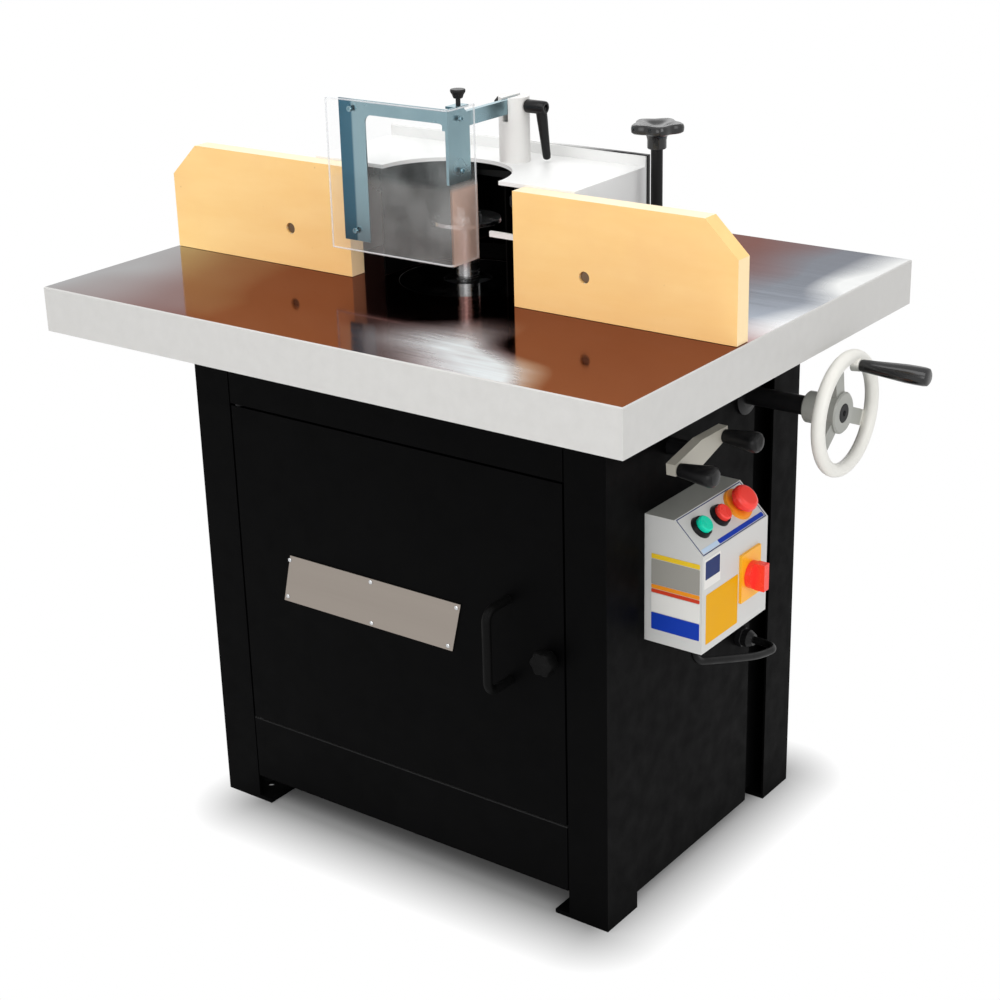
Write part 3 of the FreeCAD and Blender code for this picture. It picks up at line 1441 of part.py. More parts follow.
# Fence hood, deflector and fence plates
def make_hood():
    top = block("hood_top_plate", "-hood_half : hood_half", "hood_front : hood_rear", "hood_under : hood_top")
    notch = rod("hood_notch", "z", "notch_radius", "hood_under - overrun : hood_top + overrun", "0",
                "hood_front")
    rear = cut("hood_rear",
               block("hood_rear_wall", "-hood_half : hood_half", "hood_back : hood_rear",
                     "hood_bottom : lip_top"),
               block("hood_rear_mouth", "hood_sheet - duct_half : duct_half - hood_sheet",
                     "hood_back - overrun : hood_rear + overrun",
                     "hood_bottom - overrun : duct_top - hood_sheet"))
    cheek = block("hood_cheek", "hood_half - hood_sheet : hood_half", "fence_back : hood_rear",
                  "hood_bottom : hood_under")
    wing = cut("hood_wing",
               block("hood_wing_plate", "hood_half : wing_half", "wing_front : wing_back",
                     "hood_bottom : wing_top"),
               block("hood_slot",
                     "clamp_x - clamp_stud / 2 - slide_gap : clamp_x + clamp_stud / 2 + slide_gap",
                     "clamp_y - clamp_slot_travel - clamp_stud : clamp_y + clamp_slot_travel + clamp_stud",
                     "hood_bottom - overrun : wing_top + overrun"))
    right = fuse("hood_right_side", cheek, wing)
    node("fence_hood", fuse("fence_hood", cut("hood_notched", top, notch), rear, right,
                            mirror_x("hood_left_side", right)))

    inner = "deflector_half - deflector_sheet"
    bend = cut("deflector_bend",
               rod("deflector_outer", "z", "deflector_half", "hood_bottom : hood_under", "0",
                   "spindle_y"),
               rod("deflector_inner", "z", inner, "hood_bottom - overrun : hood_under + overrun", "0",
                   "spindle_y"),
               block("deflector_front_half", "-deflector_half - overrun : deflector_half + overrun",
                     "spindle_y - deflector_half - overrun : spindle_y",
                     "hood_bottom - overrun : hood_under + overrun"))
    leg = block("deflector_leg", inner + " : deflector_half", "fence_back : spindle_y",
                "hood_bottom : hood_under")
    window = block("deflector_window_cut", "-deflector_window / 2 : deflector_window / 2",
                   "spindle_y : spindle_y + deflector_half + overrun",
                   "hood_bottom + deflector_sill : hood_bottom + deflector_sill + deflector_window")
    wall = fuse("deflector_wall", bend, leg, mirror_x("deflector_left_leg", leg))
    node("chip_deflector", cut("chip_deflector", wall, window))

    panel = block("fence_plate_blank", "fence_plate_inner : fence_plate_outer", "hood_front : fence_back",
                  "hood_bottom : hood_under")
    tongue = block("fence_tongue", "tongue_inner : fence_plate_inner", "hood_front : fence_back",
                   "tongue_z : tongue_z + tongue_height")
    slot_low = "fence_bolt_x - fence_slot_in"
    slot_high = "fence_bolt_x + fence_slot_out"
    slot_y = "hood_front - overrun : fence_back + overrun"
    slot_half = "(fence_bolt / 2 + running_gap)"
    slot = fuse("fence_slot",
                block("fence_slot_middle", slot_low + " : " + slot_high, slot_y,
                      "fence_bolt_z - %s : fence_bolt_z + %s" % (slot_half, slot_half)),
                rod("fence_slot_inner_end", "y", slot_half, slot_y, slot_low, "fence_bolt_z"),
                rod("fence_slot_outer_end", "y", slot_half, slot_y, slot_high, "fence_bolt_z"))
    right_plate = cut("right_fence_plate", fuse("fence_plate_blanked", panel, tongue), slot)
    left_plate = mirror_x("left_fence_plate", cut("plain_fence_plate", panel, slot))
    node("fence_plates", group("fence_plates", right_plate, left_plate))


# Fence boards with their bolts
def make_boards():
    board = plate("board_blank", "XZ_Plane", [
        ("board_gap", "board_bottom"),
        ("board_outer", "board_bottom"),
        ("board_outer", "board_top - board_cut_z"),
        ("board_outer - board_cut_x", "board_top"),
        ("board_gap", "board_top"),
    ], "board_front : board_back")
    drilled = cut("right_board_drilled", board,
                  rod("board_hole", "y", "fence_bolt / 2 + seat_gap",
                      "board_front - overrun : board_back + overrun",
                      "fence_bolt_x", "fence_bolt_z"),
                  rod("board_counterbore", "y", "counterbore / 2",
                      "board_front - overrun : board_front + counterbore_depth",
                      "fence_bolt_x", "fence_bolt_z"))
    head_back = "board_front + counterbore_depth"
    nut_front = "fence_back + running_gap"
    bolt = fuse("right_bolt",
                rod("fence_bolt_head_disc", "y", "fence_bolt_head / 2",
                    head_back + " - fence_bolt_head_height : " + head_back, "fence_bolt_x",
                    "fence_bolt_z"),
                rod("fence_bolt_shank", "y", "fence_bolt / 2",
                    "%s : %s + fence_nut_height" % (head_back, nut_front),
                    "fence_bolt_x", "fence_bolt_z"),
                rod("fence_bolt_nut", "y", "fence_nut / 2",
                    "%s : %s + fence_nut_height" % (nut_front, nut_front),
                    "fence_bolt_x", "fence_bolt_z"))
    node("right_board", drilled)
    node("left_board", mirror_x("left_board", drilled))
    node("right_fence_bolt", bolt)
    node("left_fence_bolt", mirror_x("left_fence_bolt", bolt))


# Hood clamps: studs in the table and the knobs on them
def make_clamps():
    studs = []
    for side, x, top in (("right", "clamp_x", "tall_clamp_top"), ("left", "-clamp_x", "low_clamp_top")):
        studs.append(turned(side + "_clamp_stud", "z", [
            ("0", "table_height - clamp_stud_depth"),
            ("clamp_stud / 2", "table_height - clamp_stud_depth"),
            ("clamp_stud / 2", "wing_top + slide_gap"),
            ("clamp_washer / 2", "wing_top + slide_gap"),
            ("clamp_washer / 2", "wing_top + slide_gap + clamp_washer_sheet"),
            ("clamp_tube / 2", "wing_top + slide_gap + clamp_washer_sheet"),
            ("clamp_tube / 2", top),
            ("clamp_stud / 2", top),
            ("clamp_stud / 2", top + " + knob_bore_depth"),
            ("0", top + " + knob_bore_depth"),
        ], x, "clamp_y"))
    node("hood_studs", group("hood_studs", *studs))
    for side, x, top, kind in (("right", "clamp_x", "tall_clamp_top", "tall"),
                               ("left", "-clamp_x", "low_clamp_top", "low")):
        base = top + " + running_gap"
        middle = "%s + %s_knob_hub_height" % (base, kind)
        finish = "%s + %s_knob_height" % (middle, kind)
        grip = lobed(side + "_grip", "z", kind + "_knob", middle + " : " + finish, KNOB_LOBES,
                     kind + "_knob_flute", x, "clamp_y")
        hub = taper(side + "_knob_hub", "z", "%s_knob_root / 2 : %s_knob_hub / 2" % (kind, kind),
                    base + " : " + middle, x, "clamp_y")
        bore = rod(side + "_knob_bore", "z", "clamp_stud / 2 + fit_gap",
                   "%s - overrun : %s + knob_bore_depth + running_gap" % (base, top), x, "clamp_y")
        node(side + "_clamp_knob", cut(side + "_clamp_knob", fuse(side + "_knob_solid", grip, hub), bore))


# Guard: post, clamp lever, arm, bracket, shield and thumb knob
def make_guard():
    post = rod("post_tube", "z", "post_diameter / 2", "hood_top : post_top", "post_x", "post_y")
    fork = block("post_fork", "arm_left - running_gap : arm_right + running_gap",
                 "post_y - post_diameter : post_y + post_diameter",
                 "post_top - fork_depth : post_top + overrun")
    screw_hole = rod("post_screw_hole", "x", "lever_screw / 2 + fit_gap",
                     "post_x - post_diameter : post_x + post_diameter", "post_y", "arm_z")
    node("guard_post", cut("guard_post", post, fork, screw_hole))

    face = "post_x + post_diameter / 2 + running_gap"
    hub_end = face + " + lever_hub_length"
    nut_face = "post_x - post_diameter / 2 - running_gap"
    handle = doc.addObject("Part::Cone", "lever_handle")
    bind(handle, "Radius1", "lever_root / 2")
    bind(handle, "Radius2", "lever_end / 2")
    bind(handle, "Height", "lever_length")
    handle.Placement = FreeCAD.Placement(FreeCAD.Vector(),
                                         FreeCAD.Rotation(FreeCAD.Vector(1, 0, 0), 1))
    bind(handle, "Placement.Rotation.Angle", "lever_angle")
    bind(handle, "Placement.Base.x", hub_end + " - lever_hub / 2")
    bind(handle, "Placement.Base.y", "post_y")
    bind(handle, "Placement.Base.z", "arm_z")
    node("guard_clamp_lever", fuse(
        "guard_clamp_lever",
        rod("lever_hub_barrel", "x", "lever_hub / 2", face + " : " + hub_end, "post_y", "arm_z"),
        rod("lever_screw_rod", "x", "lever_screw / 2", nut_face + " : " + face, "post_y", "arm_z"),
        rod("lever_nut_disc", "x", "lever_nut / 2", "%s - lever_nut_height : %s" % (nut_face, nut_face),
            "post_y", "arm_z"),
        handle))

    bar = block("arm_bar", "arm_left : arm_right", "zinc_back : post_y + arm_tail",
                "arm_z - arm_height / 2 : arm_z + arm_height / 2")
    node("guard_arm", cut("guard_arm", bar,
                          rod("arm_hole", "x", "lever_screw / 2 + fit_gap",
                              "arm_left - overrun : arm_right + overrun",
                              "post_y", "arm_z")))

    blank = plate("bracket_front_plate", "XZ_Plane", [
        ("bracket_left", "bracket_leg_bottom"),
        ("window_left", "bracket_leg_bottom"),
        ("window_left", "flange_bottom"),
        ("flange_right", "flange_bottom"),
        ("flange_right", "shield_top"),
        ("bracket_left", "shield_top"),
    ], "shield_back : zinc_back")
    through = "shield_back - overrun : zinc_back + overrun"
    corner_z = "window_top - window_round"
    corners = ("window_left + window_round", "window_right - window_round")
    window = fuse("bracket_window",
                  block("bracket_window_low", "window_left : window_right", through,
                        "flange_bottom - overrun : " + corner_z),
                  block("bracket_window_high", " : ".join(corners), through, corner_z + " : window_top"),
                  rod("bracket_window_left_corner", "y", "window_round", through, corners[0], corner_z),
                  rod("bracket_window_right_corner", "y", "window_round", through, corners[1], corner_z))
    front = cut("bracket_front", blank, window)
    flange = plate("bracket_flange", "YZ_Plane", [
        ("zinc_back", "flange_bottom"),
        ("flange_back", "flange_bottom"),
        ("flange_back", "shield_top - flange_round"),
        ("flange_back - flange_round", "shield_top"),
        ("zinc_back", "shield_top"),
    ], "arm_right : flange_right")
    lug = cut("thumb_lug",
              block("thumb_lug_plate", "flange_right - thumb_lug_width : flange_right",
                    "thumb_y - thumb_lug_length / 2 : thumb_y + thumb_lug_length / 2",
                    "shield_top - thumb_lug_sheet : shield_top"),
              rod("thumb_lug_hole", "z", "thumb_screw / 2 + fit_gap",
                  "shield_top - thumb_lug_sheet - overrun : shield_top + overrun", "post_x", "thumb_y"))
    node("guard_bracket", fuse("guard_bracket", front, flange, lug))

    wing_right = "flange_right + shield_sheet"
    node("guard_shield", plate("guard_shield", "XY_Plane", [
        ("shield_left", "shield_front"),
        (wing_right, "shield_front"),
        (wing_right, "shield_wing_back"),
        ("flange_right", "shield_wing_back"),
        ("flange_right", "shield_back"),
        ("shield_left", "shield_back"),
    ], "shield_bottom : shield_top"))

    node("thumb_knob", turned("thumb_knob", "z", [
        ("0", "arm_z + arm_height / 2 + running_gap"),
        ("thumb_screw / 2", "arm_z + arm_height / 2 + running_gap"),
        ("thumb_screw / 2", "thumb_z"),
        ("thumb_bottom / 2", "thumb_z"),
        ("thumb_top / 2", "thumb_z + thumb_flare"),
        ("thumb_top / 2", "thumb_z + thumb_height"),
        ("0", "thumb_z + thumb_height"),
    ], "post_x", "thumb_y"))


make_cabinet()
make_door()
make_table()
make_lift()
make_drive()
make_height_drive()
make_lock()
make_control_box()
make_hood()
make_duct()
make_boards()
make_clamps()
make_guard()
doc.recompute()

# Every object must be sound before anything is written
faults = [obj.Label for obj in doc.Objects if "Invalid" in obj.State or "Error" in obj.State]
faults += [name for name, obj in NODES.items() if obj.Shape.isNull() or not obj.Shape.isValid()]
if faults:
    raise RuntimeError("unsound: " + ", ".join(faults))

os.makedirs("parts", exist_ok=True)
for name, obj in NODES.items():
    print("%-18s %2d solids %12.0f mm3" % (name, len(obj.Shape.Solids), obj.Shape.Volume))
    obj.Shape.exportStep(os.path.join("parts", name + ".step"))
print(len(NODES), "sub-parts")
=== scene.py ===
import json
from math import atan2, cos, pi, radians, sin, sqrt

import bmesh
import bpy
from mathutils import Matrix, Vector


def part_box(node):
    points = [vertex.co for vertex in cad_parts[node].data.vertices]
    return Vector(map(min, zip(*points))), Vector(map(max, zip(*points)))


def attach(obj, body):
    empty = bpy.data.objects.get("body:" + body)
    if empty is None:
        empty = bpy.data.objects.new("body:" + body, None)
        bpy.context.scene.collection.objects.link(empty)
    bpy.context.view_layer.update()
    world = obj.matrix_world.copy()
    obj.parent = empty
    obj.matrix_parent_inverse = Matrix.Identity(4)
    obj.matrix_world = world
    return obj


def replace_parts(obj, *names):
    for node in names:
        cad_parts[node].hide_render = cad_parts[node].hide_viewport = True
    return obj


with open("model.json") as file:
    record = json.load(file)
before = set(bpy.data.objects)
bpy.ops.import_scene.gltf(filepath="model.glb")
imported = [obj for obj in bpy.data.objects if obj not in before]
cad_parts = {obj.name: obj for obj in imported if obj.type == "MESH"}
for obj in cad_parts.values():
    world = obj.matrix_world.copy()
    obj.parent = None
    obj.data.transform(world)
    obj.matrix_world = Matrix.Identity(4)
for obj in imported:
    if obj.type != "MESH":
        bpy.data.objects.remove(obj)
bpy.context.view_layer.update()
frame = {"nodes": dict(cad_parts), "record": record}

# Materials, stage and camera are in metres, the forms of new pieces in millimetres
NODES = frame["nodes"]
MM = 0.001
X_AXIS = (1, 0, 0)
Y_AXIS = (0, 1, 0)
Z_AXIS = (0, 0, 1)
FORWARD = (0, -1, 0)

# Camera fitted to the photograph: viewing angles in radians, place and focal length
AZIMUTH = 0.6413
ELEVATION = 0.3816
ROLL = -0.026
CAMERA_PLACE = (1.52958, -2.04937, 1.474166)
FOCAL_MM = 71.54
SENSOR_MM = 36.0


# Material kit
NOISE_ROUGHNESS = 0.55
PATCH_SCALE = 9.0
PATCH_DETAIL = 5.0
SMEAR_SCALE = 36.0
SMEAR_DETAIL = 6.0
GRAIN_DETAIL = 3.0
FACING_START = 0.97
FACING_FULL = 0.99


def new_material(name):
    material = bpy.data.materials.new(name)
    material.use_nodes = True
    tree = material.node_tree
    return material, tree, tree.nodes["Principled BSDF"]


def feed(shader, name, value):
    """Link a value to a socket of a shader."""
    shader.id_data.links.new(value, shader.inputs[name])


def noise(tree, scale, detail, stretch=(1.0, 1.0, 1.0)):
    """Noise in the coordinates of the object, stretched along its axes."""
    coords = tree.nodes.new("ShaderNodeTexCoord")
    mapping = tree.nodes.new("ShaderNodeMapping")
    mapping.inputs["Scale"].default_value = stretch
    texture = tree.nodes.new("ShaderNodeTexNoise")
    texture.inputs["Scale"].default_value = scale
    texture.inputs["Detail"].default_value = detail
    texture.inputs["Roughness"].default_value = NOISE_ROUGHNESS
    tree.links.new(coords.outputs["Object"], mapping.inputs["Vector"])
    tree.links.new(mapping.outputs["Vector"], texture.inputs["Vector"])
    return texture.outputs["Fac"]


def spread(value, low, high, start=0.3, end=0.7):
    """Map a value between start and end to the range from low to high."""
    tree = value.id_data
    ranger = tree.nodes.new("ShaderNodeMapRange")
    ranger.inputs["From Min"].default_value = start
    ranger.inputs["From Max"].default_value = end
    ranger.inputs["To Min"].default_value = low
    ranger.inputs["To Max"].default_value = high
    tree.links.new(value, ranger.inputs["Value"])
    return ranger.outputs["Result"]


def rising(value, start, end):
    """0 below start, 1 above end."""
    return spread(value, 0.0, 1.0, start, end)


def falling(value, start, end):
    """1 below start, 0 above end."""
    return spread(value, 1.0, 0.0, start, end)


def blend(factor, first, second):
    """Mix two colours; each is a colour or a socket."""
    tree = factor.id_data
    mixer = tree.nodes.new("ShaderNodeMix")
    mixer.data_type = "RGBA"
    tree.links.new(factor, mixer.inputs["Factor"])
    for side, colour in (("A", first), ("B", second)):
        socket = [s for s in mixer.inputs if s.name == side and s.type == "RGBA"][0]
        if isinstance(colour, tuple):
            socket.default_value = colour + (1.0,)
        else:
            tree.links.new(colour, socket)
    return [s for s in mixer.outputs if s.type == "RGBA"][0]


def maths(operation, first, second):
    """A maths node of two sockets, or of a socket and a number."""
    tree = (second if isinstance(first, float) else first).id_data
    node = tree.nodes.new("ShaderNodeMath")
    node.operation = operation
    for socket, value in zip(node.inputs, (first, second)):
        if isinstance(value, float):
            socket.default_value = value
        else:
            tree.links.new(value, socket)
    return node.outputs["Value"]


def product(first, second):
    return maths("MULTIPLY", first, second)


def bump(shader, height, strength, depth):
    tree = shader.id_data
    node = tree.nodes.new("ShaderNodeBump")
    node.inputs["Strength"].default_value = strength
    node.inputs["Distance"].default_value = depth
    tree.links.new(height, node.inputs["Height"])
    feed(shader, "Normal", node.outputs["Normal"])


def place_parts(tree, kind="Object"):
    """Coordinates of a point in metres or, where kind is Generated, as shares of its object's box."""
    coords = tree.nodes.new("ShaderNodeTexCoord")
    parts = tree.nodes.new("ShaderNodeSeparateXYZ")
    tree.links.new(coords.outputs[kind], parts.inputs["Vector"])
    return parts.outputs["X"], parts.outputs["Y"], parts.outputs["Z"]


def facing(tree, axis):
    """1 on faces that look straight along an axis, 0 elsewhere."""
    geometry = tree.nodes.new("ShaderNodeNewGeometry")
    parts = tree.nodes.new("ShaderNodeSeparateXYZ")
    tree.links.new(geometry.outputs["True Normal"], parts.inputs["Vector"])
    return rising(parts.outputs[axis], FACING_START, FACING_FULL)


def distance_to(first, second, place):
    """Distance from a place, in the plane of two coordinates."""
    along = maths("POWER", maths("SUBTRACT", first, place[0]), 2.0)
    across = maths("POWER", maths("SUBTRACT", second, place[1]), 2.0)
    return maths("POWER", maths("ADD", along, across), 0.5)


def scaled(colour, factor):
    return tuple(min(1.0, channel * factor) for channel in colour)


def surface(name, colour, rough, grain, relief, metal=0.0, shade=0.08, swing=0.08, depth=0.0002,
            stretch=(1.0, 1.0, 1.0), specular=0.5):
    """A finish with uneven colour, uneven gloss and a fine grain."""
    material, tree, shader = new_material(name)
    shader.inputs["Metallic"].default_value = metal
    shader.inputs["Specular IOR Level"].default_value = specular
    patches = noise(tree, PATCH_SCALE, PATCH_DETAIL, stretch)
    tint = blend(patches, scaled(colour, 1.0 - shade), scaled(colour, 1.0 + shade))
    feed(shader, "Base Color", tint)
    smears = noise(tree, SMEAR_SCALE, SMEAR_DETAIL, stretch)
    feed(shader, "Roughness", spread(smears, rough - swing, rough + swing))
    bump(shader, noise(tree, grain, GRAIN_DETAIL, stretch), relief, depth)
    return material


# Table: zones of painted reflection on its top in metres, each a pair of where its border begins and ends
PLAIN_STEEL_LEFT = (-0.43, -0.21)
BLUE_REFLECTION_RIGHT = (0.22, 0.34)
RIGHT_END_GLARE = (0.39, 0.455)
BEHIND_FENCE = (-0.12, -0.02)
RAGGED_REACH = 0.05

# Painted glare fan on the table, a painted reflection: its direction in plan, its start along it, and its two
# borders across it
GLARE_AXIS = (0.6, -0.8)
GLARE_START = (0.25, 0.35)
GLARE_LEFT = (-0.19, -0.06)
GLARE_RIGHT = (-0.01, 0.045)
GLARE_MATT = 0.3
GLARE_METAL_LOSS = 0.6


def painted_glare_fan(tree, x, y):
    """1 in the painted glare: a streaked fan painted bright from the spindle to the front edge."""
    ahead = maths("ADD", product(x, GLARE_AXIS[0]), product(y, GLARE_AXIS[1]))
    beside = maths("SUBTRACT", product(y, GLARE_AXIS[0]), product(x, GLARE_AXIS[1]))
    begun = rising(ahead, *GLARE_START)
    sides = product(rising(beside, *GLARE_LEFT), falling(beside, *GLARE_RIGHT))
    streaks = spread(noise(tree, 26.0, 3.0, (0.3, 5.0, 1.0)), 0.78, 1.0)
    return product(product(begun, sides), streaks)


def table_material():
    """Ground top with painted reflections: the brown of the boards over the working zone, a blue reflection
    and a glare at the right rear, and a glare fan before the spindle; painted edge.
    """
    material, tree, shader = new_material("table_iron")
    # Brown specular tint: part of the painted reflection of the boards
    shader.inputs["Specular Tint"].default_value = (0.45, 0.38, 0.36, 1.0)
    blue_reflection = (0.39, 0.48, 0.56)
    right_end_glare_tone = (0.96, 1.0, 1.0)
    glare_tone = (0.86, 0.94, 0.97)
    top = facing(tree, "Z")
    x, y = place_parts(tree)[:2]
    stains = noise(tree, 5.0, 5.0)
    # Painted reflection: the brown of the boards painted into the steel of the working zone; the left end
    # keeps a plain steel tone
    board_reflection_brown = blend(stains, (0.36, 0.205, 0.195), (0.41, 0.245, 0.235))
    plain_steel = blend(stains, (0.72, 0.80, 0.83), (0.78, 0.86, 0.89))
    ragged = maths("ADD", x, spread(noise(tree, 4.5, 1.0), -RAGGED_REACH, RAGGED_REACH))
    rear = rising(y, *BEHIND_FENCE)
    # Painted reflection: a pale blue tone on the right end behind the fence
    blue_reflection_zone = product(rising(ragged, *BLUE_REFLECTION_RIGHT), rear)
    # Painted glare: a near-white tone at the far right end, with less metal
    right_end_glare_zone = product(rising(ragged, *RIGHT_END_GLARE), rear)
    # Painted glare: bright, rougher and less metallic in a fan before the spindle
    glare = painted_glare_fan(tree, ragged, y)
    tone = blend(falling(ragged, *PLAIN_STEEL_LEFT), board_reflection_brown, plain_steel)
    tone = blend(blue_reflection_zone, tone, blue_reflection)
    tone = blend(right_end_glare_zone, tone, right_end_glare_tone)
    tone = blend(glare, tone, glare_tone)
    speckle = noise(tree, 60.0, 4.0)
    painted = blend(speckle, (0.55, 0.545, 0.53), (0.62, 0.615, 0.60))
    feed(shader, "Base Color", blend(top, painted, tone))
    # The painted glares lose part of their metal
    glare_dulling = product(maths("MAXIMUM", glare, right_end_glare_zone), GLARE_METAL_LOSS)
    feed(shader, "Metallic", product(top, maths("SUBTRACT", 1.0, glare_dulling)))
    strokes = noise(tree, 30.0, 6.0, (0.25, 6.0, 1.0))
    ground = maths("ADD", spread(strokes, 0.05, 0.11), product(glare, GLARE_MATT))
    mixer = tree.nodes.new("ShaderNodeMix")
    tree.links.new(top, mixer.inputs["Factor"])
    tree.links.new(spread(speckle, 0.38, 0.5), mixer.inputs["A"])
    tree.links.new(ground, mixer.inputs["B"])
    feed(shader, "Roughness", mixer.outputs["Result"])
    bump(shader, noise(tree, 260.0, 3.0, (0.3, 3.0, 1.0)), 0.04, 0.0001)
    return material


# Zinc: the deep blue strip as a share of the piece's width, and the width of its border
NO_STRIP_SHARE = -0.1
BRACKET_STRIP_SHARE = 0.13
STRIP_FADE_SHARE = 0.02


def zinc_material(name, strip_share):
    """Blue passivated zinc, with a strip of deeper blue over the first share of its width."""
    material, tree, shader = new_material(name)
    shader.inputs["Metallic"].default_value = 1.0
    streaks = noise(tree, 9.0, 2.0, (2.5, 2.5, 0.5))
    plain = blend(streaks, (0.19, 0.31, 0.36), (0.33, 0.46, 0.50))
    deep = blend(streaks, (0.012, 0.075, 0.125), (0.06, 0.17, 0.24))
    across = place_parts(tree, "Generated")[0]
    deep_strip = falling(across, strip_share - STRIP_FADE_SHARE, strip_share)
    feed(shader, "Base Color", blend(deep_strip, plain, deep))
    feed(shader, "Roughness", spread(noise(tree, 20.0, 2.0), 0.26, 0.32))
    bump(shader, noise(tree, 350.0, 2.0), 0.04, 0.0001)
    return material


def board_material():
    """Sealed fibreboard: warm, with fine fibre and a few dark flecks; faces turned up and to +X are painted
    paler as painted light.
    """
    material, tree, shader = new_material("board_wood")
    shader.inputs["Specular IOR Level"].default_value = 0.35
    cloud_tone = (0.90, 0.55, 0.23)
    fleck_tone = (0.42, 0.22, 0.09)
    painted_top_light = (0.96, 0.80, 0.56)
    painted_end_light = (1.0, 0.78, 0.46)
    streaks = noise(tree, 22.0, 6.0, (0.35, 1.0, 1.6))
    clouds = noise(tree, 9.0, 4.0)
    fibre = blend(streaks, (0.93, 0.57, 0.20), (1.0, 0.70, 0.31))
    body = blend(spread(clouds, 0.0, 0.45, 0.5, 0.75), fibre, cloud_tone)
    coords = tree.nodes.new("ShaderNodeTexCoord")
    cells = tree.nodes.new("ShaderNodeTexVoronoi")
    cells.inputs["Scale"].default_value = 46.0
    cells.inputs["Randomness"].default_value = 1.0
    tree.links.new(coords.outputs["Object"], cells.inputs["Vector"])
    dots = spread(cells.outputs["Distance"], 0.45, 0.0, 0.02, 0.075)
    flecks = product(dots, rising(noise(tree, 18.0, 2.0), 0.5, 0.62))
    tint = blend(flecks, body, fleck_tone)
    # Painted light: paler top faces and +X end faces
    tint = blend(facing(tree, "Z"), tint, painted_top_light)
    tint = blend(facing(tree, "X"), tint, painted_end_light)
    feed(shader, "Base Color", tint)
    feed(shader, "Roughness", spread(streaks, 0.46, 0.6))
    bump(shader, noise(tree, 900.0, 2.0, (0.6, 1.0, 1.4)), 0.12, 0.0002)
    return material


# Clear shield: borders of its hazed part and of the lower part of its wing, where a warm reflection of the
# boards is painted, in metres
HAZE_LEFT = (-0.085, -0.045)
HAZE_TOP = (0.985, 1.0)
WING_FRONT = (-0.151, -0.149)
WING_TOP = (0.915, 0.925)
CLEAR_ALPHA = 0.035
WING_REFLECTION_ALPHA = 0.38
HAZE_ALPHA = 0.10


def clear_material():
    """Clear polycarbonate with faint handling haze and a painted warm reflection of the boards on its lower
    wing.
    """
    material, tree, shader = new_material("clear_shield")
    shader.inputs["IOR"].default_value = 1.58
    x, y, z = place_parts(tree)
    between = product(rising(x, *HAZE_LEFT), falling(z, *HAZE_TOP))
    wing_reflection = product(rising(y, *WING_FRONT), falling(z, *WING_TOP))
    # Painted reflection: the warm brown of the boards, denser on the lower wing
    tint = blend(wing_reflection, (0.70, 0.76, 0.76), (0.86, 0.66, 0.57))
    feed(shader, "Base Color", tint)
    haze = product(spread(noise(tree, 11.0, 4.0), 0.0, HAZE_ALPHA, 0.42, 0.66), between)
    veil = maths("ADD", product(wing_reflection, WING_REFLECTION_ALPHA), CLEAR_ALPHA)
    feed(shader, "Alpha", maths("ADD", haze, veil))
    feed(shader, "Roughness", spread(noise(tree, 30.0, 5.0), 0.05, 0.14))
    bump(shader, noise(tree, 14.0, 2.0), 0.03, 0.0004)
    return material


# Handwheel: its middle and the inner border of its rim, as shares of its box
WHEEL_MIDDLE_SHARES = (0.5, 0.5)
RIM_SHARES = (0.365, 0.395)


def wheel_material():
    """Off-white enamel on the rim; the hub and spokes are left as grey casting."""
    material, tree, shader = new_material("wheel_enamel")
    along, up = place_parts(tree, "Generated")[1:]
    rim = rising(distance_to(along, up, WHEEL_MIDDLE_SHARES), *RIM_SHARES)
    clouds = noise(tree, 14.0, 4.0)
    enamel = blend(clouds, (0.76, 0.75, 0.70), (0.84, 0.83, 0.78))
    casting = blend(clouds, (0.29, 0.295, 0.27), (0.39, 0.395, 0.365))
    feed(shader, "Base Color", blend(rim, casting, enamel))
    feed(shader, "Roughness", spread(noise(tree, 50.0, 5.0), 0.3, 0.46))
    bump(shader, noise(tree, 200.0, 3.0), 0.2, 0.0004)
    return material


